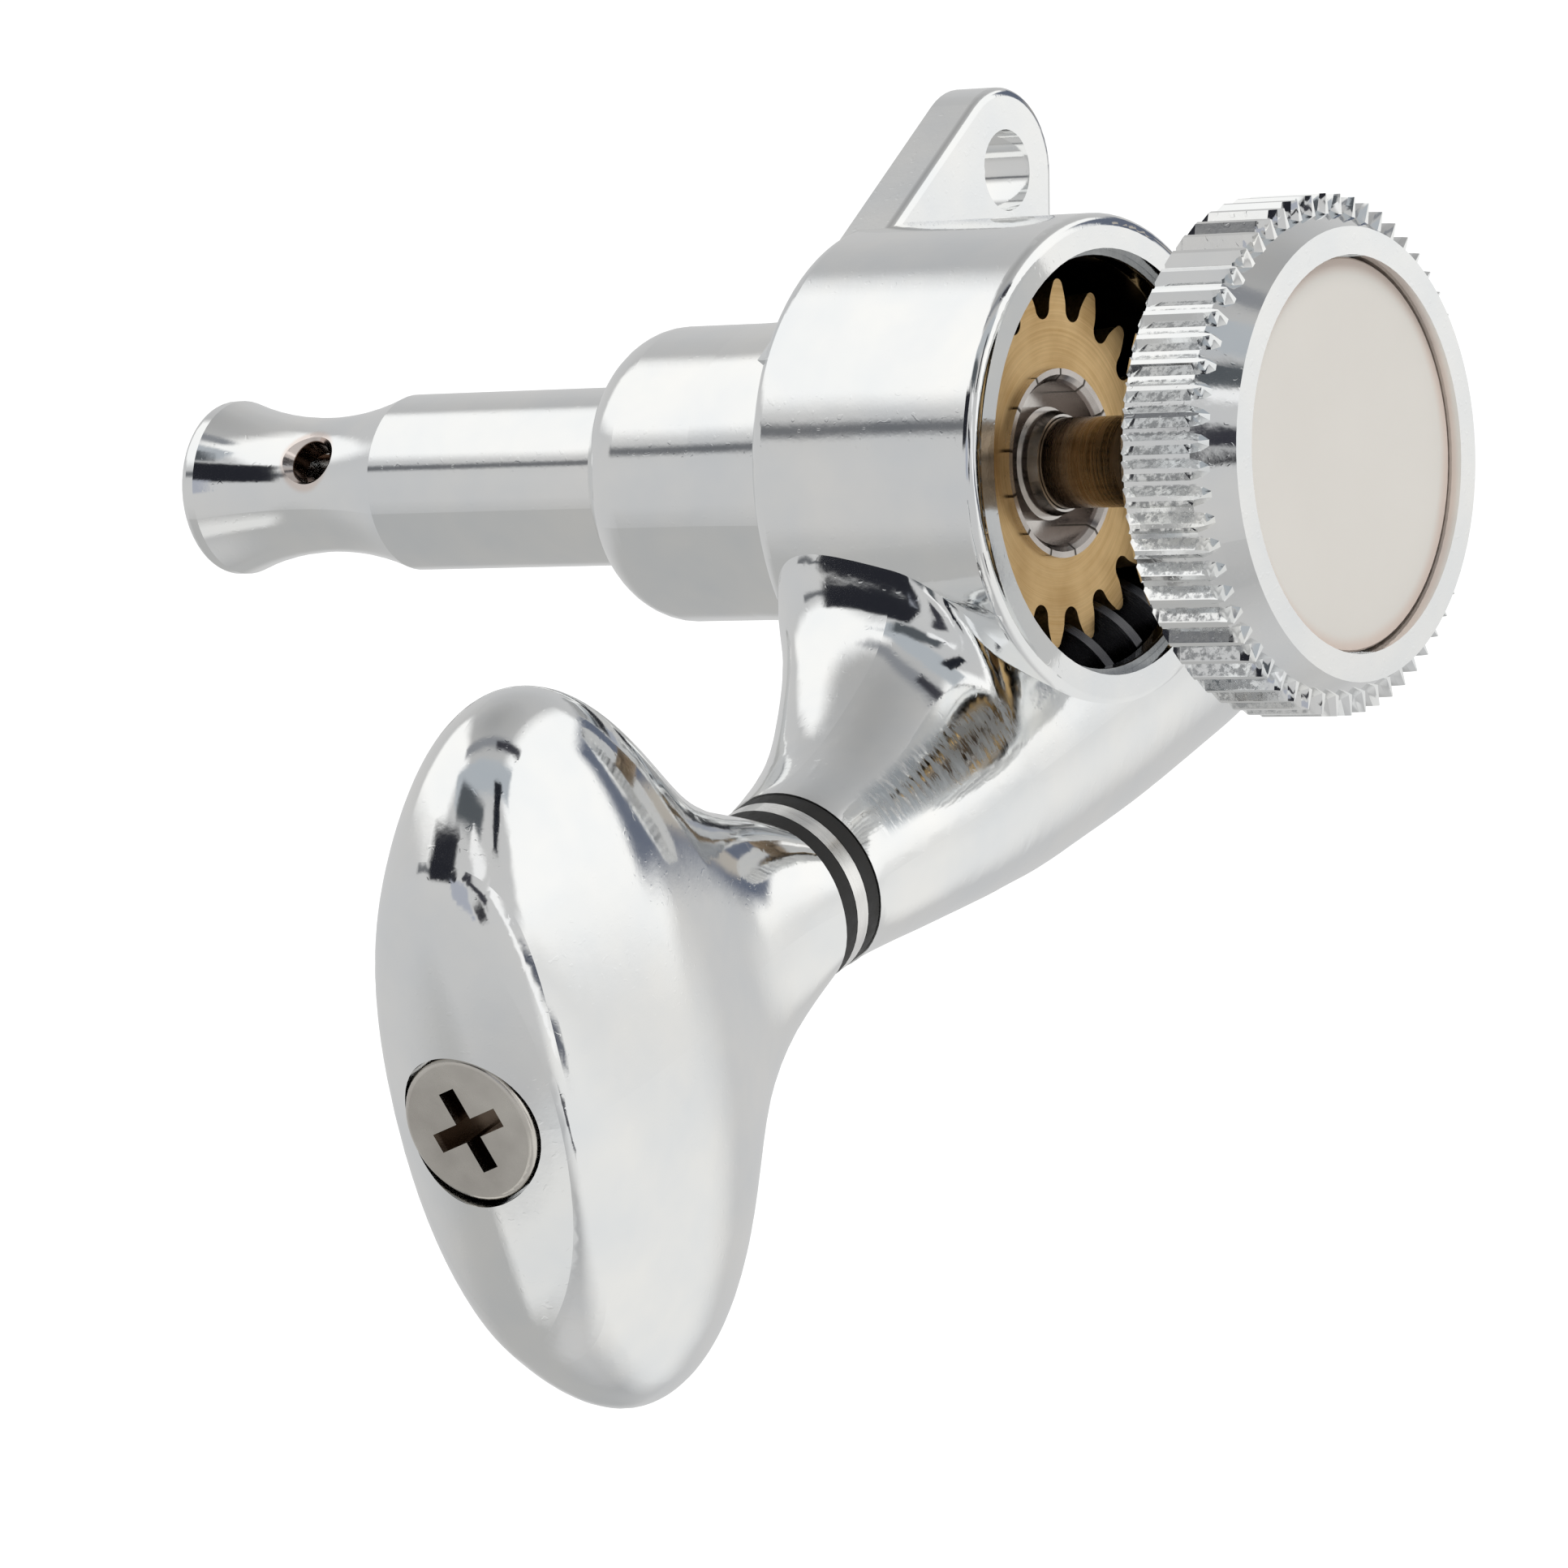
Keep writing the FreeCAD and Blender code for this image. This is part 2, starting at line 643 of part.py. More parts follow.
def string_post():
    """Hollow post with a waist, a cross hole and a riveted tail."""
    depth = S.post_head_radius - S.post_waist_radius
    half = S.post_waist_length / 2
    waist_arc = (half * half + depth * depth) / (2 * depth)
    body = new_body("string_post")
    turn(body, "post", [
        (ZERO, TAIL_END),
        (S.post_tail_radius, TAIL_END),
        (S.post_tail_radius, WHEEL_REAR),
        (S.post_seat_radius, WHEEL_REAR),
        (S.post_seat_radius, WHEEL_FRONT),
        (S.post_radius, WHEEL_FRONT),
        (S.post_radius, POST_SHOULDER, waist_arc, -1),
        (S.post_head_radius, POST_HEAD),
        (S.post_head_radius, S.post_tip_height - S.post_tip_round, S.post_tip_round, 1),
        (S.post_head_radius - S.post_tip_round, S.post_tip_height),
        (ZERO, S.post_tip_height),
    ])
    turn(body, "post_bores", [
        (ZERO, TAIL_END - S.cut_overrun),
        (S.tail_mouth_radius, TAIL_END - S.cut_overrun),
        (S.tail_mouth_radius, TAIL_END),
        (S.tail_recess_radius, TAIL_END + S.tail_mouth_depth),
        (S.tail_recess_radius, RECESS_FLOOR),
        (SCREW_BORE_RADIUS, RECESS_FLOOR),
        (SCREW_BORE_RADIUS, SCREW_BORE_TOP),
        (PIN_BORE_RADIUS, SCREW_BORE_TOP),
        (PIN_BORE_RADIUS, PIN_BORE_TOP),
        (ZERO, PIN_BORE_TOP),
    ], cut=True)
    for side in (-1, 1):
        side_flat(body, f"seat_flat_{side + 1}", side, S.post_seat_radius, S.post_seat_flat,
                  WHEEL_REAR, S.wheel_thickness)
    return cross_drill(body)


def cross_drill(body):
    """Drills the string hole through the waist and eases its two rims."""
    over = S.cut_overrun
    hole = doc.addObject("Part::Cylinder", "string_hole")
    bind(hole, "Radius", S.string_hole_radius)
    bind(hole, "Height", 2 * (S.post_radius + over))
    tools = [hole]
    turned = FreeCAD.Rotation(FreeCAD.Vector(0, 0, 1), S.string_hole_angle.value)
    along = turned.multVec(FreeCAD.Vector(1, 0, 0))
    lie = turned.multiply(FreeCAD.Rotation(FreeCAD.Vector(0, 1, 0), 90))
    centre = FreeCAD.Vector(0, 0, STRING_HOLE.value)
    hole.Placement = FreeCAD.Placement(
        centre - along * (S.post_radius + over).value, lie)
    for side in (-1, 1):
        rim = doc.addObject("Part::Cone", f"string_hole_rim_{side + 1}")
        bind(rim, "Radius1", S.string_hole_radius)
        bind(rim, "Radius2", S.string_hole_radius + 2 * S.string_hole_rim)
        bind(rim, "Height", 2 * S.string_hole_rim)
        turn_side = lie if side > 0 else turned.multiply(
            FreeCAD.Rotation(FreeCAD.Vector(0, 1, 0), -90))
        rim.Placement = FreeCAD.Placement(
            centre + along * (side * (S.post_waist_radius - S.string_hole_rim).value),
            turn_side)
        tools.append(rim)
    drills = boolean("Part::MultiFuse", "string_hole_drills", tools[0], tools[1:])
    body.Label = "post_blank"
    return boolean("Part::Cut", "string_post", body, [drills])


def involute_angle(radius, base):
    """Polar angle that an involute of the base circle has turned at a radius."""
    roll = math.sqrt(max((radius / base) ** 2 - 1, 0))
    return roll - math.atan(roll)


def wheel_outline():
    """Closed outline of the toothed wheel, tooth by tooth."""
    pressure = math.radians(S.pressure_angle.value)
    pitch, root, tip = PITCH_RADIUS.value, WHEEL_ROOT_RADIUS.value, WHEEL_TIP_RADIUS.value
    base = pitch * math.cos(pressure)
    half_at_pitch = (math.pi * S.gear_module.value - S.gear_backlash.value) / 4 / pitch
    flank_start = max(base, root)
    tip_round = S.tooth_tip_round_share.value * (tip - root)
    steps = 3

    def half_angle(radius):
        return half_at_pitch + involute_angle(pitch, base) - involute_angle(radius, base)

    def at(radius, angle):
        return FreeCAD.Vector(radius * math.cos(angle), radius * math.sin(angle), 0)

    radii = [flank_start + (tip - tip_round - flank_start) * i / steps for i in range(steps + 1)]
    edges = []
    tooth = 2 * math.pi / S.wheel_teeth.value
    for number in range(int(S.wheel_teeth.value)):
        middle = number * tooth
        rising = [at(r, middle - half_angle(r)) for r in radii]
        falling = [at(r, middle + half_angle(r)) for r in reversed(radii)]
        root_half = half_angle(flank_start)
        before = at(flank_start, middle - tooth + root_half)
        edges.append(Part.Arc(before, at(root, middle - tooth / 2), rising[0]).toShape())
        for points in (rising, falling):
            flank = Part.BSplineCurve()
            flank.interpolate(points)
            if points is falling:
                edges.append(Part.Arc(rising[-1], at(tip, middle), falling[0]).toShape())
            edges.append(flank.toShape())
    return Part.Wire(edges)


def worm_wheel():
    """Brass wheel whose teeth lean with the worm's lead, seated on two flats."""
    lead = math.pi * S.gear_module.value
    lean = lead / (2 * math.pi * WORM_PITCH_RADIUS.value)
    twist = math.degrees(S.wheel_thickness.value * lean / PITCH_RADIUS.value)
    z_axis = FreeCAD.Vector(0, 0, 1)
    sections = []
    for share, height in ((-0.5, WHEEL_REAR.value), (0.5, WHEEL_FRONT.value)):
        section = wheel_outline()
        section.rotate(FreeCAD.Vector(), z_axis, S.wheel_phase.value + share * twist)
        section.translate(FreeCAD.Vector(0, 0, height))
        sections.append(section)
    toothed = doc.addObject("Part::Feature", "wheel_blank")
    toothed.Shape = Part.makeLoft(sections, True, True)
    seat = new_body("wheel_seat")

    def draw(sketch):
        add_outline(sketch, double_flat(S.post_seat_radius, S.post_seat_flat))

    extrude(seat, "seat_pad", WHEEL_REAR, S.wheel_thickness, draw)
    return boolean("Part::Cut", "worm_wheel", toothed, [seat])


def worm_thread():
    """Right-hand single thread of the worm, turned into mesh with the wheel."""
    lead = math.pi * S.gear_module.value
    slope = math.tan(math.radians(S.pressure_angle.value))
    half_at_pitch = (lead - S.gear_backlash.value) / 4
    root = (WORM_ROOT_RADIUS - S.running_clearance).value
    tip, pitch = WORM_TIP_RADIUS.value, WORM_PITCH_RADIUS.value
    foot = half_at_pitch + (pitch - root) * slope
    crest = half_at_pitch - (tip - pitch) * slope
    low = -S.worm_length.value / 2
    helix = Part.Wire(Part.makeHelix(lead, S.worm_length.value, pitch))
    helix.translate(FreeCAD.Vector(0, 0, low))
    corners = [FreeCAD.Vector(root, 0, low - foot), FreeCAD.Vector(tip, 0, low - crest),
               FreeCAD.Vector(tip, 0, low + crest), FreeCAD.Vector(root, 0, low + foot)]
    profile = Part.makePolygon(corners + corners[:1])
    tooth_angle = 360 / S.wheel_teeth.value
    gap_angle = (S.wheel_phase.value + tooth_angle / 2 + 90) % tooth_angle
    gap_place = PITCH_RADIUS.value * math.radians(gap_angle)
    for item in (helix, profile):
        item.rotate(FreeCAD.Vector(), FreeCAD.Vector(0, 0, 1), (low - gap_place) / lead * 360)
    feature = doc.addObject("Part::Feature", "worm_thread")
    feature.Shape = helix.makePipeShell([profile], True, True)
    return put_on_worm_line(feature)


def worm_shaft():
    """Steel shaft with the worm, a thrust collar and flats for the button."""
    blank = new_body("shaft_blank")
    half = S.worm_length / 2
    turn(blank, "shaft", [
        (ZERO, PLUG_INNER - S.journal_length),
        (S.journal_radius, PLUG_INNER - S.journal_length),
        (S.journal_radius, WORM_REST),
        (S.shaft_radius, WORM_REST),
        (S.shaft_radius, -half - S.gear_module),
        (WORM_ROOT_RADIUS, -half - S.gear_module / 2),
        (WORM_ROOT_RADIUS, SHAFT_STOP - S.shaft_collar_length),
        (S.shaft_collar_radius, SHAFT_STOP - S.shaft_collar_length),
        (S.shaft_collar_radius, SHAFT_STOP),
        (S.shaft_radius, SHAFT_STOP),
        (S.shaft_radius, SHAFT_END),
        (SCREW_HOLE_RADIUS, SHAFT_END),
        (SCREW_HOLE_RADIUS, SCREW_TIP - S.axial_play),
        (ZERO, SCREW_TIP - S.axial_play),
    ])
    for side in (-1, 1):
        side_flat(blank, f"shaft_flat_{side + 1}", side, S.shaft_radius, S.shaft_flat,
                  BUTTON_START, S.button_shaft_depth)
    put_on_worm_line(blank)
    return boolean("Part::MultiFuse", "worm_shaft", blank, [worm_thread()])


def button_section(station, half_width, half_thickness):
    """Section across the button: x along its width, y through its thickness."""
    edges = [quarter_ellipse(x * half_width, y * half_thickness, BUTTON_CORNER_SHARE)
             for x, y in ((1, 1), (-1, 1), (-1, -1), (1, -1))]
    section = Part.Wire(Part.__sortEdges__(edges))
    section.translate(FreeCAD.Vector(0, 0, station))
    return section


def button_form():
    """Waisted two-lobed form of the button and its domed face, with the ridge
    between them sharper at its sides than at its ends."""
    neck = S.button_neck_radius.value
    start, edge, end = BUTTON_START.value, BUTTON_EDGE.value, S.button_end.value

    def half_sizes(wide, thick):
        return (neck + wide * (S.button_half_width.value - neck),
                neck + thick * (S.button_half_thickness.value - neck))

    body_sections = [
        button_section(start + place * (edge - start), *half_sizes(wide, thick))
        for place, wide, thick in zip(
            BUTTON_STATION_SHARES, BUTTON_WIDTH_SHARES, BUTTON_THICKNESS_SHARES)]
    ridge_width, ridge_thickness = half_sizes(
        BUTTON_WIDTH_SHARES[-1], BUTTON_THICKNESS_SHARES[-1])
    face_sections = [
        button_section(edge + rise * (end - edge), wide * ridge_width, thick * ridge_thickness)
        for rise, wide, thick in zip(
            FACE_RISE_SHARES, FACE_WIDTH_SHARES, FACE_THICKNESS_SHARES)]
    form = Part.makeLoft(body_sections, True, False).fuse(
        Part.makeLoft(face_sections, True, False))
    blank = doc.addObject("Part::Feature", "button_blank")
    blank.Shape = form.removeSplitter()
    rounded = doc.addObject("Part::Fillet", "button_form")
    rounded.Base = blank
    rounded.Edges = ridge_rounds(blank.Shape, edge)
    doc.recompute()
    return put_on_worm_line(rounded, S.button_angle)


def ridge_rounds(shape, height):
    """The edges at a height, each with its radius at its first and last point."""
    rounds = []
    for number, edge in enumerate(shape.Edges, start=1):
        ends = [edge.valueAt(edge.FirstParameter), edge.valueAt(edge.LastParameter)]
        middle = edge.CenterOfMass
        if max(abs(point.z - height) for point in (*ends, middle)) < S.same_place.value:
            rounds.append((number, *(
                S.ridge_end_round.value if abs(point.x) > abs(point.y)
                else S.ridge_side_round.value for point in ends)))
    return rounds


def button():
    """Button bored for the flats of the shaft and for its screw."""
    socket = new_body("button_socket")
    room = S.running_clearance

    def draw(sketch):
        add_outline(sketch, double_flat(S.shaft_radius + room, S.shaft_flat + room))

    extrude(socket, "socket_pad", BUTTON_START - S.cut_overrun,
            S.button_shaft_depth + S.cut_overrun + S.axial_play, draw)
    put_on_worm_line(socket)
    tools = boolean("Part::MultiFuse", "button_bores", socket, [
        cut_tool("screw_way", S.button_screw_radius + room, SHAFT_END,
                 SCREW_SEAT + S.cut_overrun, on_worm_line=True),
        cut_tool("screw_counterbore", S.button_screw_head_radius + S.button_screw_gap,
                 SCREW_SEAT, S.button_end + S.cut_overrun, on_worm_line=True),
    ])
    return boolean("Part::Cut", "button", button_form(), [tools])


def button_screw():
    """Cross-recess screw that holds the button on the shaft."""
    body = new_body("button_screw")
    head_top = SCREW_SEAT + S.button_screw_head
    rounding = S.button_screw_head_round
    turn(body, "screw", [
        (ZERO, SCREW_TIP),
        (S.button_screw_radius, SCREW_TIP),
        (S.button_screw_radius, SCREW_SEAT),
        (S.button_screw_head_radius, SCREW_SEAT),
        (S.button_screw_head_radius, head_top - rounding, rounding, 1),
        (S.button_screw_head_radius - rounding, head_top),
        (ZERO, head_top),
    ])
    for name, long_x, long_y in (("cross_one", S.cross_length, S.cross_width),
                                 ("cross_two", S.cross_width, S.cross_length)):
        def draw(sketch, half_x=long_x / 2, half_y=long_y / 2):
            add_outline(sketch, box_outline(half_x, half_y))

        extrude(body, name, head_top, S.cross_depth, draw, cut=True)
    return put_on_worm_line(body, S.cross_angle)


def lock_bush():
    """Stepped bush in the tail of the post that keeps the locking screw in."""
    body = new_body("lock_bush")
    top = RECESS_FLOOR
    step = S.lock_bush_rise / 2
    turn(body, "bush", [
        (S.stem_radius + S.running_clearance, top),
        (S.stem_radius + S.running_clearance, top - S.lock_bush_flange - 2 * S.lock_bush_rise),
        (S.lock_bush_radius - 2 * S.lock_bush_step, top - S.lock_bush_flange - 2 * S.lock_bush_rise),
        (S.lock_bush_radius - S.lock_bush_step, top - S.lock_bush_flange - 2 * S.lock_bush_rise + step),
        (S.lock_bush_radius - S.lock_bush_step, top - S.lock_bush_flange - S.lock_bush_rise),
        (S.lock_bush_radius, top - S.lock_bush_flange - S.lock_bush_rise),
        (S.lock_bush_radius, top - S.lock_bush_flange),
        (S.tail_recess_radius, top - S.lock_bush_flange),
        (S.tail_recess_radius, top),
    ])
    return body


def locking_screw():
    """Rod with a thread inside the post, turned by the thumbwheel."""
    body = new_body("locking_screw")
    crest, root = S.lock_thread_radius, S.lock_thread_radius - S.lock_thread_depth
    outline = [(ZERO, RECESS_BOTTOM), (S.stem_radius, RECESS_BOTTOM),
               (S.stem_radius, LOCK_THREAD_START)]
    for number in range(int(S.lock_thread_length.value / S.lock_thread_pitch.value)):
        low = LOCK_THREAD_START + number * S.lock_thread_pitch
        outline += [(root, low), (crest, low + S.lock_thread_pitch / 2)]
    outline += [(root, LOCK_THREAD_END), (S.lock_nose_radius, LOCK_THREAD_END),
                (S.lock_nose_radius, LOCK_THREAD_END + S.lock_nose_length),
                (ZERO, LOCK_THREAD_END + S.lock_nose_length)]
    turn(body, "rod", outline)
    return body


def locking_pin():
    """Pin in the bore of the post that clamps the string in its hole."""
    body = new_body("locking_pin")
    tip = S.pin_tip_round
    turn(body, "pin", [
        (ZERO, PIN_START), (S.pin_radius, PIN_START), (S.pin_radius, PIN_END - tip, tip, 1),
        (S.pin_radius - tip, PIN_END), (ZERO, PIN_END)])
    return body


def knurl_section(depth, top, root, width_share):
    """Section of one ridge across the axis, its flanks cut off at a top radius."""
    pitch = math.radians(360 / S.knurl_ridges.value)
    crest, foot = S.knob_radius.value, (S.knob_radius - S.knurl_depth).value
    crest_half = pitch * KNURL_FLAT_SHARE / 2
    foot_half = pitch * (1 - KNURL_VALLEY_SHARE) / 2

    def half_angle(radius):
        return crest_half + (foot_half - crest_half) * (crest - radius) / (crest - foot)

    corners = []
    for side, radius in ((-1, root), (-1, top), (1, top), (1, root)):
        angle = side * width_share * half_angle(max(radius, foot))
        corners.append(FreeCAD.Vector(
            radius * math.cos(angle), radius * math.sin(angle), depth))
    return Part.makePolygon(corners + corners[:1])


def knurl():
    """Ridges with bevelled front ends and pointed noses that run onto the cone."""
    crest = S.knob_radius.value
    root = crest - S.knurl_depth.value - S.knurl_sink.value
    bevel = S.knob_front_chamfer.value
    front, cone_start = KNOB_FRONT.value, (KNOB_FRONT - S.knurl_length).value
    cone_slope = ((S.knob_radius - S.knurl_depth - S.knob_face_radius)
                  / (S.knob_thickness - S.knurl_length)).value
    sections = [knurl_section(front, crest - bevel, root, 1),
                knurl_section(front - bevel, crest, root, 1)]
    for place, width in zip(KNURL_NOSE_PLACE_SHARES, KNURL_NOSE_WIDTH_SHARES):
        along = place * S.knurl_nose_length.value
        sections.append(knurl_section(
            cone_start - along, crest, root - along * cone_slope, width))
    ridge = Part.makeLoft(sections, True, True)
    ridges = []
    for number in range(int(S.knurl_ridges.value)):
        copy = ridge.copy()
        copy.rotate(FreeCAD.Vector(), FreeCAD.Vector(0, 0, 1),
                    number * 360 / S.knurl_ridges.value)
        ridges.append(copy)
    feature = doc.addObject("Part::Feature", "knurl")
    feature.Shape = Part.makeCompound(ridges)
    return feature


def thumbwheel():
    """Knurled wheel with a bevelled rear, a recess for its inlay and a bore."""
    core = new_body("thumbwheel_core")
    bore = S.stem_radius + S.running_clearance
    core_radius = S.knob_radius - S.knurl_depth
    turn(core, "wheel", [
        (bore, KNOB_FRONT), (bore, RECESS_BOTTOM), (S.recess_radius, RECESS_BOTTOM),
        (S.recess_radius, KNOB_REAR), (S.knob_face_radius, KNOB_REAR),
        (core_radius, KNOB_FRONT - S.knurl_length),
        (core_radius, KNOB_FRONT),
    ])
    return boolean("Part::MultiFuse", "thumbwheel", core, [knurl()])


def thumbwheel_inlay():
    body = new_body("thumbwheel_inlay")
    radius = S.recess_radius - S.inlay_clearance
    edge = S.inlay_clearance
    turn(body, "disc", [
        (ZERO, INLAY_FACE), (radius - edge, INLAY_FACE), (radius, INLAY_FACE + edge),
        (radius, RECESS_BOTTOM), (ZERO, RECESS_BOTTOM)])
    return body


def sub_parts():
    inner = S.shaft_radius + S.running_clearance
    return [
        housing(), post_bush(), wheel_washer(), worm_bush(), worm_thrust_washer(),
        plug_washer(), worm_plug(),
        stack_washer("inner_friction_washer", 0, inner),
        stack_washer("spacer_washer", 1, inner),
        stack_washer("outer_friction_washer", 2, inner),
        string_post(), worm_wheel(), lock_bush(),
        worm_shaft(), button(), button_screw(),
        locking_pin(), locking_screw(), thumbwheel(), thumbwheel_inlay(),
    ]


def check_document():
    for item in doc.Objects:
        if "Invalid" in item.State or "Error" in item.State:
            raise RuntimeError(f"{item.Label} failed: {item.State}")


def check_shape(item):
    shape = item.Shape
    if shape.isNull() or not shape.isValid() or len(shape.Solids) != 1:
        raise RuntimeError(f"{item.Label} has no single valid solid")


nodes = sub_parts()
doc.recompute()
check_document()
for node in nodes:
    check_shape(node)
os.makedirs("parts", exist_ok=True)
for node in nodes:
    node.Shape.exportStep(f"parts/{node.Label}.step")
    print(node.Label, round(node.Shape.Volume, 3), "cubic mm")
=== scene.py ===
import functools
import json
import math

import bpy
from mathutils import Matrix, Vector


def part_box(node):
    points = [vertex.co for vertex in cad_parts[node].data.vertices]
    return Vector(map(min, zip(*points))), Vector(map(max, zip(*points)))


# Looks of the guitar tuning machine: materials, studio and camera.
# Lengths are in metres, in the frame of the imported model.

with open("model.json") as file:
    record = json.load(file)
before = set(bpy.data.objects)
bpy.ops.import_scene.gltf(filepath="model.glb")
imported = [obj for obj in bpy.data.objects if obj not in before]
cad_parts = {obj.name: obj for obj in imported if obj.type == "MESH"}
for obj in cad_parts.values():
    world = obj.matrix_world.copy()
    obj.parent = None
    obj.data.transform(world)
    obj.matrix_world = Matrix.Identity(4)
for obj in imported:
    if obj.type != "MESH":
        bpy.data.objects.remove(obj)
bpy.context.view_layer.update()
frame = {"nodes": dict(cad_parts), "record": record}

MM = 0.001


def mm(*lengths):
    """Lengths in millimetres as metres."""
    return tuple(length * MM for length in lengths)


# Camera: where it stands, and the directions of its right, its down and its view.
CAMERA_PLACE = (0.218432, 0.080867, -0.160900)
CAMERA_RIGHT = (-0.531639582, -0.228582622, -0.815542359)
CAMERA_DOWN = (0.39075291, -0.920489793, 0.003271757)
CAMERA_AHEAD = (-0.751446284, -0.316936155, 0.578688134)
SENSOR_MM = 36.0
IMAGE_PIXELS = 1932
FOCAL_PIXELS = 10591.398
CLIP_START = 0.01
CLIP_END = 20.0

# Studio axes: right and up as the photograph shows them, and towards its camera.
STUDIO_RIGHT = Vector(CAMERA_RIGHT)
STUDIO_UP = -Vector(CAMERA_DOWN)
STUDIO_FRONT = -Vector(CAMERA_AHEAD)

# Places on the part. A step is a pair: where a soft edge begins, and where it is
# complete, as a radius, a height or a place along an axis.
WORM_CENTRE = mm(0, -7.6, -5.1)
# The worm's bore, and the drum inside its mouth at the ledge and in the cavity, where shade is
# painted near black.
WORM_BORE_STEP = mm(2.95, 2.9)
WORM_BORE_END_STEP = mm(6.0, 5.5)
MOUTH_STEP = mm(6.92, 6.9)
LEDGE_STEPS = (mm(-8.42, -8.36), mm(-8.22, -8.28))
CAVITY_STEPS = (mm(-7.80, -7.66), mm(-0.3, -0.5))
# A point of the arm's upper rear edge, and the brushed streak along that edge.
ARM_EDGE = mm(0, -5.6, -8.0)
BRUSHED_LENGTH_STEPS = (mm(7.4, 8.6), mm(15.8, 14.9))
BRUSHED_WIDTH_STEP = mm(1.1, 0.55)
# Cross hole of the post, its worn rim and its wall.
STRING_HOLE_HEIGHT = 22.65 * MM
STRING_HOLE_ANGLE = 43.5
HOLE_ZONE_STEP = (STRING_HOLE_HEIGHT - 2 * MM, STRING_HOLE_HEIGHT - 1.9 * MM)
HOLE_RIM_STEP = mm(1.22, 1.0)
HOLE_WALL_STEP = mm(0.80, 0.76)
# Riveted tail of the post, its recess, where shade is painted, and the marks of the riveting,
# painted near black as the shade in their dents, whose step is a share of the angle from one
# mark to the next.
TAIL_STEP = mm(-4.5, -4.6)
TAIL_LIP_STEP = mm(3.4, 3.3)
TAIL_RECESS_STEP = mm(2.76, 2.72)
STAKE_MARKS = 13
STAKE_MARK_STEP = (0.10, 0.04)
# Knurled rim of the thumbwheel; the flank's steps are shares of the angle from one
# ridge to the next.
RIDGES = 60
FLANK_STEPS = ((0.09, 0.13), (0.47, 0.43))
KNURL_RADIUS_STEP = mm(7.80, 7.90)
KNURL_HEIGHT_STEPS = (mm(-17.1, -16.9), mm(-14.6, -14.75))
# Cross recess of the button's screw, where shade is painted: depth below the head's face, and
# radius.
RECESS_DEPTH_STEP = mm(0.10, 0.30)
RECESS_RADIUS_STEP = mm(1.7, 1.5)
# Worn edge of the inlay, and how far its outline wanders.
INLAY_EDGE_STEP = mm(5.9, 6.4)
INLAY_WANDER = 0.5 * MM

# Most values of a noise lie between these two.
NOISE_LOW = 0.3
NOISE_HIGH = 0.7

# Plate: its two tones, how much haze, peel and grain roughen it, the height of its
# ripple, and the heights of its peel, grain and specks as shares of that ripple.
PLATE_COOL = (0.832, 0.850, 0.864)
PLATE_WARM = (0.922, 0.916, 0.897)
HAZE_ROUGHNESS = 0.08
PEEL_ROUGHNESS = 0.04
GRAIN_ROUGHNESS = 0.03
RIPPLE_HEIGHT = 0.02 * MM
PEEL_SHARE = 0.10
GRAIN_SHARE = 0.025
SPECK_SHARE = 0.04
SPECK_STEP = (0.70, 0.80)

# What shows where the plate is gone or worn, and painted shade inside the housing, in the
# post's tail recess and in its staking marks.
# Painted shade, near black to dark brown, inside the housing's drum and the worm's bore.
PAINTED_SHADE_BLACK = (0.008, 0.007, 0.006)
PAINTED_SHADE_BROWN = (0.035, 0.03, 0.026)
BRUSHED_DARK = (0.30, 0.34, 0.38)
BRUSHED_LIGHT = (0.62, 0.66, 0.69)
BRUSHED_ROUGHNESS = 0.42
BRUSHED_SHARE = 0.9
STROKE_STEP = (0.34, 0.56)
STROKE_STRETCH = 0.2
COPPER = (0.78, 0.62, 0.54)
COPPER_SHARE = 0.55
HOLE_BROWN = (0.10, 0.055, 0.035)
TAIL_NICKEL = (0.56, 0.52, 0.49)
# Painted shade in the post's tail recess, and near black painted as the shade in the dents of
# the riveting marks.
TAIL_RECESS_SHADE = (0.24, 0.20, 0.18)
STAKE_MARK_SHADE = (0.06, 0.05, 0.04)
PIT_GREY = (0.40, 0.41, 0.42)
PIT_SHARE = 0.75
PIT_STEP = (0.40, 0.62)

# Light that mirrors see, from straight below to straight above, as (sine of the
# elevation, brightness).
TENT_LEVELS = ((-1, 0.6), (-0.82, 0.46), (-0.5, 0.6), (0, 0.62),
               (0.6, 0.58), (0.87, 0.5), (0.97, 0.42), (1, 0.38))
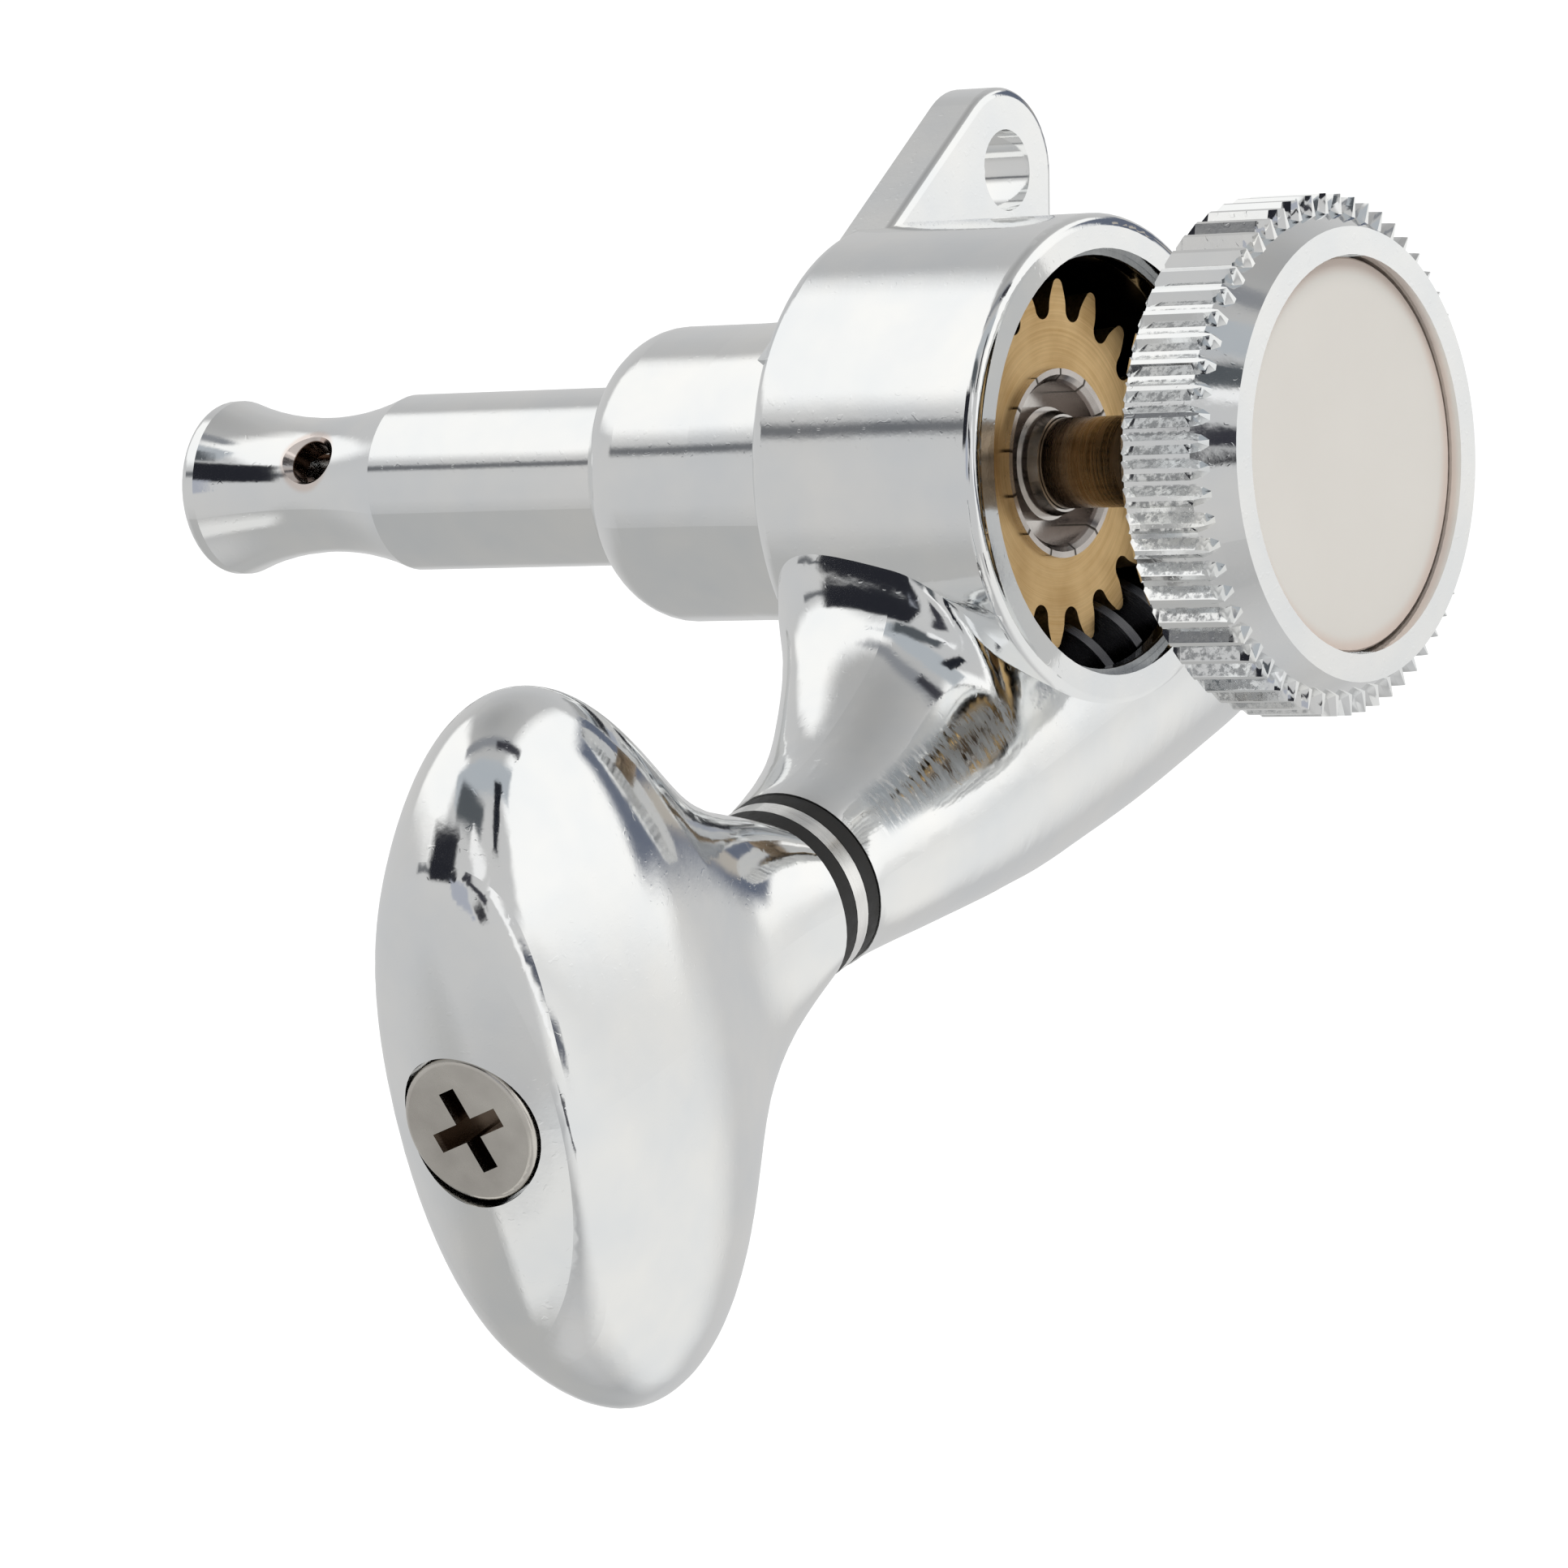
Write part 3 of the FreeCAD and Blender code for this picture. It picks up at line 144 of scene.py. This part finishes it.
# Panels and flags of the studio as mirrors see them, each over the ones before:
# azimuth (0 is towards the camera, + to its right), elevation, half width, half
# height, tilt and edge softness, all in degrees, and then the colour.
STUDIO_CARDS = {
    "left_white": (-91, 43, 29, 20, 0, 12, (1.05, 1.05, 1.04)),
    "left_thin": (-74, 13, 9, 2.6, 0, 4, (0.16, 0.165, 0.175)),
    "right_white": (80, 30, 41, 28, 0, 13, (1.06, 1.06, 1.05)),
    "right_low": (80, -33, 52, 36, 0, 40, (0.86, 0.86, 0.85)),
    "left_low": (-130, -50, 46, 21, -12, 26, (0.47, 0.47, 0.465)),
    "middle_low": (-46, -55, 24, 8, 0, 9, (0.8, 0.8, 0.79)),
    "middle_grey": (-5, 50, 34, 8, 0, 5, (0.46, 0.49, 0.52)),
    "top_dark": (-5, 70, 28, 4.5, 0, 6, (0.26, 0.27, 0.29)),
    "brow_dark": (-22, 36, 18, 6.5, -12, 5, (0.09, 0.1, 0.11)),
    "side_dark": (-50, 17, 16.5, 12, 3, 4, (0.02, 0.021, 0.027)),
    "streak_dark": (-12, 8.5, 11, 3.8, -29, 3, (0.04, 0.04, 0.05)),
    "small_dark": (-13, -4, 6, 3, 30, 3, (0.03, 0.03, 0.035)),
    "blue_grey": (-31, 0, 9, 8, 0, 3, (0.42, 0.44, 0.5)),
    "streak_white": (-6, 24, 10, 3, -28, 3, (0.95, 0.95, 0.95)),
    "fall_white": (22, -4, 24, 4, -50, 4, (1, 1, 1)),
    "fall_dark": (43, -9, 15, 3.5, -25, 4.5, (0.1, 0.11, 0.14)),
    "upright_dark": (19, 34, 4, 11, -15, 2, (0.012, 0.014, 0.02)),
    "navy": (130, 22, 19, 12.5, 0, 6, (0.13, 0.15, 0.2)),
    "navy_light": (135, 15, 8, 2.7, -8, 2.5, (0.45, 0.42, 0.38)),
    "corner_dark": (46, 59, 13, 3, -42, 3, (0.04, 0.04, 0.05)),
    "spot_dark": (22.6, -36.5, 4, 3, 0, 2, (0.08, 0.08, 0.09)),
}
# A card is seen only by rays that lean towards it by at least this cosine.
CARD_LEAN = 0.02
# Plain light on everything that isn't a mirror.
PLAIN_LIGHT = (0.55, 0.55, 0.55)
WHITE = (1, 1, 1)
# Lamps that mirrors don't show: place along the studio's right, up and front, edge
# length, and power in watts.
LAMPS = {
    "key": ((0.5, 0.9, 0.6), 0.7, 9.0),
    "fill": ((-0.9, 0.4, 0.7), 0.6, 4.0),
}
# Floor: half its width, its level along the y axis, its colour, and the glow that
# only the camera sees.
FLOOR_HALF = 4.0
FLOOR_LEVEL = -0.6
FLOOR_COLOUR = (0.85, 0.85, 0.85)
FLOOR_GLOW = 0.6


class Graph:
    """A node tree with short calls for its nodes and links."""

    # Sockets of the mix node, by kind of data: factor, first, second and result.
    MIX_SOCKETS = {"RGBA": ("0", "6", "7", 2), "FLOAT": ("0", "2", "3", 0)}

    def __init__(self, tree):
        self.tree = tree
        tree.nodes.clear()

    def node(self, kind, _settings=None, **inputs):
        """Adds a node; settings are its own properties, inputs its sockets by name
        with spaces as underscores, each a value or another node's output."""
        made = self.tree.nodes.new(kind)
        for key, value in (_settings or {}).items():
            setattr(made, key, value)
        for key, value in inputs.items():
            self.put(made, key.replace("_", " "), value)
        return made

    def put(self, node, name, value):
        """Links or sets a socket, which is named or numbered."""
        socket = node.inputs[int(name)] if name.isdigit() else node.inputs[name]
        if isinstance(value, bpy.types.NodeSocket):
            self.tree.links.new(value, socket)
        else:
            socket.default_value = (*value, 1) if socket.type == "RGBA" else value

    def numbered(self, kind, settings, *values):
        """Adds a node whose first sockets take the values in order."""
        made = self.node(kind, settings)
        for place, value in enumerate(values):
            self.put(made, str(place), value)
        return made

    def math(self, operation, first, second=0.0):
        """One operation on two values."""
        return self.numbered("ShaderNodeMath", {"operation": operation},
                             first, second).outputs[0]

    def fold(self, operation, *values):
        """One operation on any number of values, from the first to the last."""
        return functools.reduce(functools.partial(self.math, operation), values)

    def product(self, *values):
        """All the values multiplied."""
        return self.fold("MULTIPLY", *values)

    def most(self, *values):
        """The largest of the values."""
        return self.fold("MAXIMUM", *values)

    def total(self, *terms):
        """Sum of (value, weight) terms."""
        return self.fold("ADD", *(self.product(value, weight) for value, weight in terms))

    def dot(self, vector, direction):
        """Length of a vector along a direction."""
        return self.numbered("ShaderNodeVectorMath", {"operation": "DOT_PRODUCT"},
                             vector, tuple(direction)).outputs["Value"]

    def rise(self, value, start, end):
        """Smooth step from 0 at start to 1 at end; start may be above end."""
        return self.node("ShaderNodeMapRange", {"interpolation_type": "SMOOTHSTEP"},
                         Value=value, From_Min=start, From_Max=end).outputs["Result"]

    def within(self, value, steps):
        """1 between the two steps, 0 outside them."""
        return self.product(*(self.rise(value, *step) for step in steps))

    def place(self):
        """The point's place in the model's frame, in metres."""
        return self.node("ShaderNodeTexCoord").outputs["Object"]

    def parts(self, vector):
        """The outputs X, Y and Z of a vector."""
        return self.node("ShaderNodeSeparateXYZ", Vector=vector).outputs

    def join(self, x, y, z):
        """The vector of three values."""
        return self.node("ShaderNodeCombineXYZ", X=x, Y=y, Z=z).outputs["Vector"]

    def spun(self, where, degrees):
        """The place turned about the z axis."""
        made = self.node("ShaderNodeVectorRotate", {"rotation_type": "Z_AXIS"}, Vector=where,
                         Angle=math.radians(degrees))
        return made.outputs["Vector"]

    def turned(self, where, along="Z", centre=(0, 0, 0)):
        """Radius, angle and height of the place about an axis through a centre."""
        moved = self.numbered("ShaderNodeVectorMath", {"operation": "SUBTRACT"},
                              where, centre).outputs["Vector"]
        parts = self.parts(moved)
        first, second = [parts[axis] for axis in "XYZ" if axis != along]
        square = self.fold("ADD", self.product(first, first), self.product(second, second))
        return self.math("SQRT", square), self.math("ARCTAN2", second, first), parts[along]

    def sector(self, angle, count):
        """Place of the angle in its own of count equal sectors, from 0 to 1."""
        onward = self.math("ADD", angle, math.tau)
        return self.math("FRACT", self.product(onward, count / math.tau))

    def noise(self, where, scale, detail, roughness=0.5):
        """Noise with scale waves a metre."""
        return self.node("ShaderNodeTexNoise", Vector=where, Scale=scale,
                         Detail=detail, Roughness=roughness).outputs["Fac"]

    def ramp(self, value, *stops):
        """Colour ramp through (place, colour) stops; a colour may be one grey value."""
        made = self.node("ShaderNodeValToRGB", Fac=value)
        elements = made.color_ramp.elements
        while len(elements) < len(stops):
            elements.new(elements[-1].position)
        for element, (place, colour) in zip(elements, stops):
            element.position = place
            grey = isinstance(colour, (int, float))
            element.color = (colour, colour, colour, 1) if grey else (*colour, 1)
        return made.outputs["Color"]

    def tones(self, noise, low, high, start=NOISE_LOW, end=NOISE_HIGH):
        """Colour or grey of a noise, from low to high."""
        return self.ramp(noise, (start, low), (end, high))

    def mixed(self, kind, factor, first, second):
        """First where the factor is 0, second where it is 1."""
        *sockets, result = self.MIX_SOCKETS[kind]
        made = self.node("ShaderNodeMix", {"data_type": kind})
        for socket, value in zip(sockets, (factor, first, second)):
            self.put(made, socket, value)
        return made.outputs[result]

    def mix(self, factor, first, second):
        """A colour between two colours."""
        return self.mixed("RGBA", factor, first, second)

    def blend(self, factor, first, second):
        """A value between two values."""
        return self.mixed("FLOAT", factor, first, second)

    def bump(self, height, distance):
        """Normals of a relief whose full height is the distance."""
        return self.node("ShaderNodeBump", Height=height, Distance=distance).outputs["Normal"]

    def two_shaders(self, kind, first, second, **inputs):
        """The mix or the sum of two shaders, whose sockets come last."""
        made = self.node(kind, **inputs)
        for socket, shader in zip(made.inputs[-2:], (first, second)):
            self.tree.links.new(shader, socket)
        return made.outputs[0]

    def finish(self, kind, shader):
        """The output node, of a material or of the world."""
        self.tree.links.new(shader, self.node(kind).inputs[0])


def new_material(name):
    """A material and its empty graph."""
    material = bpy.data.materials.new(name)
    material.use_nodes = True
    return material, Graph(material.node_tree)


def finish_material(graph, **inputs):
    """The shader and the output node."""
    shader = graph.node("ShaderNodeBsdfPrincipled", **inputs).outputs[0]
    graph.finish("ShaderNodeOutputMaterial", shader)


def chrome_layers(graph, where):
    """Colour, roughness and height of plated casting: a slow ripple, the grain of
    the polishing that frays the edges of reflections, and a few specks."""
    haze = graph.noise(where, scale=240, detail=3.0, roughness=0.6)
    swell = graph.noise(where, scale=170, detail=1.0)
    peel = graph.noise(where, scale=1500, detail=2.0, roughness=0.6)
    grain = graph.noise(where, scale=8000, detail=1.0, roughness=0.6)
    specks = graph.rise(graph.noise(where, scale=5200, detail=0.0), *SPECK_STEP)
    rough = graph.total((haze, HAZE_ROUGHNESS), (peel, PEEL_ROUGHNESS),
                        (grain, GRAIN_ROUGHNESS))
    height = graph.total((swell, 1.0), (peel, PEEL_SHARE), (grain, GRAIN_SHARE),
                         (specks, SPECK_SHARE))
    return graph.tones(haze, PLATE_COOL, PLATE_WARM), rough, height


def chrome(name, bare_and_shade=None):
    """Plated casting; the second argument, called with (graph, where), gives where the plate
    is gone and where shade is painted, with the colour and roughness that show there."""
    material, graph = new_material(name)
    where = graph.place()
    colour, rough, height = chrome_layers(graph, where)
    if bare_and_shade:
        worn_and_shaded, tone, dull = bare_and_shade(graph, where)
        # Worn plate, and painted shade, where the function gives them.
        colour = graph.mix(worn_and_shaded, colour, tone)
        rough = graph.blend(worn_and_shaded, rough, dull)
    finish_material(graph, Base_Color=colour, Metallic=1.0, Roughness=rough,
                    Normal=graph.bump(height, RIPPLE_HEIGHT))
    return material


def arm_brushing(graph, where):
    """Mask and strokes of the hand brushing of the arm's upper rear edge; short
    strokes across the edge fray its outline."""
    across, _, along = graph.turned(where, "X", ARM_EDGE)
    streak = graph.product(graph.within(along, BRUSHED_LENGTH_STEPS),
                           graph.rise(across, *BRUSHED_WIDTH_STEP))
    parts = graph.parts(where)
    stretched = graph.join(parts["X"], graph.product(parts["Y"], STROKE_STRETCH),
                           graph.product(parts["Z"], STROKE_STRETCH))
    strokes = graph.noise(stretched, scale=5200, detail=3.0, roughness=0.7)
    return graph.product(streak, graph.rise(strokes, *STROKE_STEP)), strokes


def housing_marks(graph, where):
    """Painted shade, near black to dark brown, inside the drum and in the worm's bore, with a
    bright band between the mouth's ledge and the cavity, and the brushing of the arm."""
    radius, _, height = graph.turned(where)
    inside = graph.product(graph.rise(radius, *MOUTH_STEP),
                           graph.most(graph.within(height, LEDGE_STEPS),
                                      graph.within(height, CAVITY_STEPS)))
    across, _, along = graph.turned(where, "X", WORM_CENTRE)
    bore = graph.product(graph.rise(across, *WORM_BORE_STEP),
                         graph.rise(along, *WORM_BORE_END_STEP))
    # Painted shade inside the drum and in the worm's bore, clouded from near black to dark
    # brown.
    dark = graph.most(inside, bore)
    shade_cloud = graph.noise(where, scale=600, detail=3.0)
    brushed, strokes = arm_brushing(graph, where)
    steel = graph.tones(strokes, BRUSHED_DARK, BRUSHED_LIGHT, start=0.4)
    return (graph.most(dark, graph.product(brushed, BRUSHED_SHARE)),
            graph.mix(dark, steel, graph.tones(shade_cloud, PAINTED_SHADE_BLACK, PAINTED_SHADE_BROWN)),
            graph.blend(dark, BRUSHED_ROUGHNESS, graph.tones(shade_cloud, low=0.18, high=0.4)))


def hole_and_tail(graph, where):
    """Worn copper round the string hole, brown inside it, and exposed nickel in the tail of
    the post, with painted shade in its recess and radial staking marks painted near black as
    the shade in their dents."""
    across, _, _ = graph.turned(graph.spun(where, -STRING_HOLE_ANGLE), "X",
                                (0, 0, STRING_HOLE_HEIGHT))
    radius, angle, height = graph.turned(where)
    waist = graph.rise(height, *HOLE_ZONE_STEP)
    rim = graph.product(graph.rise(across, *HOLE_RIM_STEP), waist)
    wall = graph.product(graph.rise(across, *HOLE_WALL_STEP), waist)
    tail = graph.rise(height, *TAIL_STEP)
    recess = graph.product(tail, graph.rise(radius, *TAIL_RECESS_STEP))
    lip = graph.product(tail, graph.rise(radius, *TAIL_LIP_STEP))
    mark = graph.product(graph.rise(graph.sector(angle, STAKE_MARKS), *STAKE_MARK_STEP), lip)
    tone = graph.mix(wall, COPPER, HOLE_BROWN)
    # The tail's exposed nickel lip, then painted shade in its recess and in the staking marks.
    for zone, colour in ((lip, TAIL_NICKEL), (recess, TAIL_RECESS_SHADE), (mark, STAKE_MARK_SHADE)):
        tone = graph.mix(zone, tone, colour)
    dull = graph.noise(where, scale=900, detail=3.0)
    return (graph.most(graph.product(rim, COPPER_SHARE), wall, lip), tone,
            graph.tones(dull, low=0.14, high=0.34))


def knurl_pits(graph, where):
    """Pitted plate on one flank of each groove of the thumbwheel, where the polish
    doesn't reach."""
    radius, angle, height = graph.turned(where)
    pits = graph.noise(where, scale=4200, detail=3.0, roughness=0.7)
    worn = graph.product(graph.rise(radius, *KNURL_RADIUS_STEP),
                         graph.within(height, KNURL_HEIGHT_STEPS),
                         graph.within(graph.sector(angle, RIDGES), FLANK_STEPS),
                         graph.rise(pits, *PIT_STEP))
    return graph.product(worn, PIT_SHARE), PIT_GREY, graph.tones(pits, low=0.22, high=0.45)


def grained_metal(graph, where, colour, smooth, rough):
    """Shader of a metal with a fine grain."""
    grains = graph.noise(where, scale=1400, detail=3.0, roughness=0.65)
    finish_material(graph, Base_Color=colour, Metallic=1.0,
                    Roughness=graph.tones(grains, smooth, rough),
                    Normal=graph.bump(grains, distance=0.004 * MM))


def plain_metal(name, dark, light, smooth, rough):
    """Worked metal: two clouded tones and a fine grain."""
    material, graph = new_material(name)
    where = graph.place()
    cloud = graph.noise(where, scale=420, detail=3.0)
    grained_metal(graph, where, graph.tones(cloud, dark, light), smooth, rough)
    return material


def screw_metal(name, dark, light, recess, smooth, rough):
    """Worked metal with painted shade, dark brown, in the cross recess of the button's screw.
    """
    material, graph = new_material(name)
    where = graph.place()
    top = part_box("button_screw")[1][0]
    radius, _, along = graph.turned(where, "X", WORM_CENTRE)
    # Painted shade in the cross recess, below the head's face.
    recess_shade_mask = graph.product(graph.rise(along, *(top - depth for depth in RECESS_DEPTH_STEP)),
                         graph.rise(radius, *RECESS_RADIUS_STEP))
    cloud = graph.noise(where, scale=420, detail=3.0)
    colour = graph.mix(recess_shade_mask, graph.tones(cloud, dark, light), recess)
    grained_metal(graph, where, colour, smooth, rough)
    return material


def turned_metal(name, dark, light, smooth, rough, along="Z", centre=(0, 0, 0),
                 pitch=0.05, mark=0.002):
    """Metal turned about an axis: fine rings at a pitch in millimetres, on its
    faces and along its sides, over two clouded tones."""
    material, graph = new_material(name)
    where = graph.place()
    radius, angle, height = graph.turned(where, along, centre)
    ring_wander = 0.06 * MM
    rings = graph.noise(graph.join(radius, graph.product(angle, ring_wander), height),
                        scale=1 / (pitch * MM), detail=3.0, roughness=0.7)
    cloud = graph.noise(where, scale=500, detail=3.0)
    share = 0.5
    both = graph.total((cloud, share), (rings, share))
    finish_material(graph, Base_Color=graph.tones(both, dark, light, start=0.36, end=0.62),
                    Metallic=1.0, Roughness=graph.tones(rings, smooth, rough),
                    Normal=graph.bump(rings, mark * MM))
    return material


def nylon(name, dark, light):
    """Matt moulded plastic."""
    material, graph = new_material(name)
    grains = graph.noise(graph.place(), scale=2600, detail=3.0, roughness=0.6)
    finish_material(graph, Base_Color=graph.tones(grains, dark, light),
                    Roughness=graph.tones(grains, low=0.48, high=0.66),
                    Normal=graph.bump(grains, distance=0.003 * MM))
    return material


def inlay(name, dark, light, edge):
    """Pale disc, a little warmer where its edge is worn."""
    material, graph = new_material(name)
    where = graph.place()
    radius, _, _ = graph.turned(where)
    cloud = graph.noise(where, scale=160, detail=3.0)
    scuffs = graph.noise(where, scale=2200, detail=3.0, roughness=0.7)
    outline = graph.math("ADD", radius, graph.product(cloud, INLAY_WANDER))
    worn = graph.rise(outline, *INLAY_EDGE_STEP)
    finish_material(graph, Base_Color=graph.mix(worn, graph.tones(cloud, dark, light), edge),
                    Roughness=graph.tones(scuffs, low=0.30, high=0.42),
                    Normal=graph.bump(scuffs, distance=0.001 * MM))
    return material


def dress(node, material):
    """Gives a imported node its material."""
    mesh = frame["nodes"][node].data
    mesh.materials.clear()
    mesh.materials.append(material)


def linked(name, data):
    """A new object in the scene."""
    made = bpy.data.objects.new(name, data)
    bpy.context.collection.objects.link(made)
    return made


def make_camera():
    """The camera of the photograph."""
    data = bpy.data.cameras.new("camera")
    data.sensor_width = SENSOR_MM
    data.lens = SENSOR_MM * FOCAL_PIXELS / IMAGE_PIXELS
    data.clip_start = CLIP_START
    data.clip_end = CLIP_END
    camera = linked("camera", data)
    columns = (STUDIO_RIGHT, STUDIO_UP, STUDIO_FRONT, CAMERA_PLACE)
    camera.matrix_world = Matrix([
        [column[row] for column in columns] for row in range(3)] + [[0, 0, 0, 1]])
    bpy.context.scene.camera = camera


def add_lamp(name, place, edge, power):
    """Soft square lamp that points at the origin and that mirrors don't show."""
    data = bpy.data.lights.new(name, "AREA")
    data.shape = "SQUARE"
    data.size = edge
    data.energy = power
    lamp = linked(name, data)
    right, up, front = place
    lamp.location = STUDIO_RIGHT * right + STUDIO_UP * up + STUDIO_FRONT * front
    lamp.rotation_mode = "QUATERNION"
    lamp.rotation_quaternion = (-lamp.location).to_track_quat("-Z", "Y")
    lamp.visible_glossy = False


def card_axes(azimuth, elevation, tilt):
    """Middle, width and height directions of a studio card."""
    azimuth, elevation, tilt = map(math.radians, (azimuth, elevation, tilt))
    level = STUDIO_RIGHT * math.cos(azimuth) - STUDIO_FRONT * math.sin(azimuth)
    towards = STUDIO_RIGHT * math.sin(azimuth) + STUDIO_FRONT * math.cos(azimuth)
    middle = towards * math.cos(elevation) + STUDIO_UP * math.sin(elevation)
    upright = STUDIO_UP * math.cos(elevation) - towards * math.sin(elevation)
    return (middle, level * math.cos(tilt) + upright * math.sin(tilt),
            upright * math.cos(tilt) - level * math.sin(tilt))


def card_mask(graph, ray, azimuth, elevation, half_width, half_height, tilt, softness):
    """1 where the ray meets the card, 0 elsewhere, with soft edges."""
    middle, width, height = card_axes(azimuth, elevation, tilt)
    ahead = graph.dot(ray, middle)
    depth = graph.most(ahead, CARD_LEAN)
    edge = math.tan(math.radians(softness)) / 2
    mask = graph.math("GREATER_THAN", ahead, CARD_LEAN)
    for direction, half in ((width, half_width), (height, half_height)):
        reach = math.tan(math.radians(half))
        across = graph.math("DIVIDE", graph.math("ABSOLUTE", graph.dot(ray, direction)), depth)
        mask = graph.product(mask, graph.rise(across, reach + edge, reach - edge))
    return mask


def make_world():
    """White for the camera, the studio's panels and flags for mirrors, and a plain
    light for the rest."""
    world = bpy.data.worlds.new("studio")
    bpy.context.scene.world = world
    world.use_nodes = True
    graph = Graph(world.node_tree)
    ray = graph.node("ShaderNodeTexCoord").outputs["Generated"]
    height = graph.product(graph.math("ADD", graph.dot(ray, STUDIO_UP), 1.0), 0.5)
    seen = graph.ramp(height, *(((sine + 1) / 2, level) for sine, level in TENT_LEVELS))
    for *card, colour in STUDIO_CARDS.values():
        seen = graph.mix(card_mask(graph, ray, *card), seen, colour)
    path = graph.node("ShaderNodeLightPath").outputs
    mirror = graph.most(path["Is Glossy Ray"], path["Is Transmission Ray"])
    light = graph.node("ShaderNodeBackground", Color=PLAIN_LIGHT).outputs[0]
    for factor, colour in ((mirror, seen), (path["Is Camera Ray"], WHITE)):
        shade = graph.node("ShaderNodeBackground", Color=colour).outputs[0]
        light = graph.two_shaders("ShaderNodeMixShader", light, shade, Fac=factor)
    graph.finish("ShaderNodeOutputWorld", light)
    # Only mirrors meet the fine detail, so the studio needs no light sampling.
    world.cycles.sampling_method = "NONE"


def make_floor():
    """Pale floor far below; it keeps shadows, and mirrors see the studio instead."""
    corners = ((-1, -1), (-1, 1), (1, 1), (1, -1))
    mesh = bpy.data.meshes.new("floor")
    mesh.from_pydata([(x * FLOOR_HALF, FLOOR_LEVEL, z * FLOOR_HALF) for x, z in corners],
                     [], [range(len(corners))])
    floor = linked("floor", mesh)
    material, graph = new_material("floor")
    diffuse = graph.node("ShaderNodeBsdfDiffuse", Color=FLOOR_COLOUR).outputs[0]
    camera = graph.node("ShaderNodeLightPath").outputs["Is Camera Ray"]
    glow = graph.node("ShaderNodeEmission", Strength=graph.product(camera, FLOOR_GLOW))
    graph.finish("ShaderNodeOutputMaterial",
                 graph.two_shaders("ShaderNodeAddShader", diffuse, glow.outputs[0]))
    mesh.materials.append(material)
    floor.visible_glossy = False


bpy.context.scene.view_settings.view_transform = "Standard"
make_camera()
make_world()
make_floor()
for lamp, settings in LAMPS.items():
    add_lamp(lamp, *settings)

# Finishes by the record's material slots.
MATERIALS = {
    "chrome": chrome("chrome"),
    "nickel": plain_metal("nickel", dark=(0.56, 0.53, 0.50), light=(0.68, 0.65, 0.62),
                          smooth=0.14, rough=0.28),
    "wheel_brass": turned_metal("wheel_brass", dark=(0.50, 0.31, 0.12),
                                light=(0.82, 0.58, 0.29), smooth=0.30, rough=0.45,
                                pitch=0.09, mark=0.004),
    "bronze": plain_metal("bronze", dark=(0.45, 0.30, 0.17), light=(0.55, 0.38, 0.23),
                          smooth=0.35, rough=0.5),
    "dark_steel": turned_metal("dark_steel", dark=(0.05, 0.05, 0.055),
                               light=(0.10, 0.10, 0.105), smooth=0.18, rough=0.32,
                               along="X", centre=WORM_CENTRE),
    "brown_steel": turned_metal("brown_steel", dark=(0.15, 0.10, 0.06),
                                light=(0.44, 0.34, 0.24), smooth=0.20, rough=0.34,
                                pitch=0.16, mark=0.008),
    "steel": plain_metal("steel", dark=(0.48, 0.48, 0.48), light=(0.58, 0.58, 0.58),
                         smooth=0.22, rough=0.36),
    "black_nylon": nylon("black_nylon", dark=(0.004, 0.004, 0.004),
                         light=(0.012, 0.011, 0.010)),
    "inlay": inlay("inlay", dark=(0.70, 0.67, 0.62), light=(0.73, 0.70, 0.65),
                   edge=(0.68, 0.57, 0.50)),
}
# Nodes with a finish of their own.
OWN_FINISH = {
    # The recess colour is painted shade in the screw's cross recess.
    "button_screw": screw_metal("screw_nickel", dark=(0.54, 0.51, 0.47),
                                light=(0.70, 0.67, 0.62), recess=(0.17, 0.13, 0.10),
                                smooth=0.16, rough=0.30),
    "spacer_washer": turned_metal("bright_washer", dark=(0.74, 0.73, 0.71),
                                  light=(0.93, 0.92, 0.90), smooth=0.16, rough=0.28,
                                  along="X", centre=WORM_CENTRE),
    "housing": chrome("housing_chrome", bare_and_shade=housing_marks),
    "string_post": chrome("post_chrome", bare_and_shade=hole_and_tail),
    "thumbwheel": chrome("knurl_chrome", bare_and_shade=knurl_pits),
}
for part in frame["record"]["subparts"]:
    node = part["node"]
    dress(node, OWN_FINISH.get(node, MATERIALS[part["material_slot"]]))
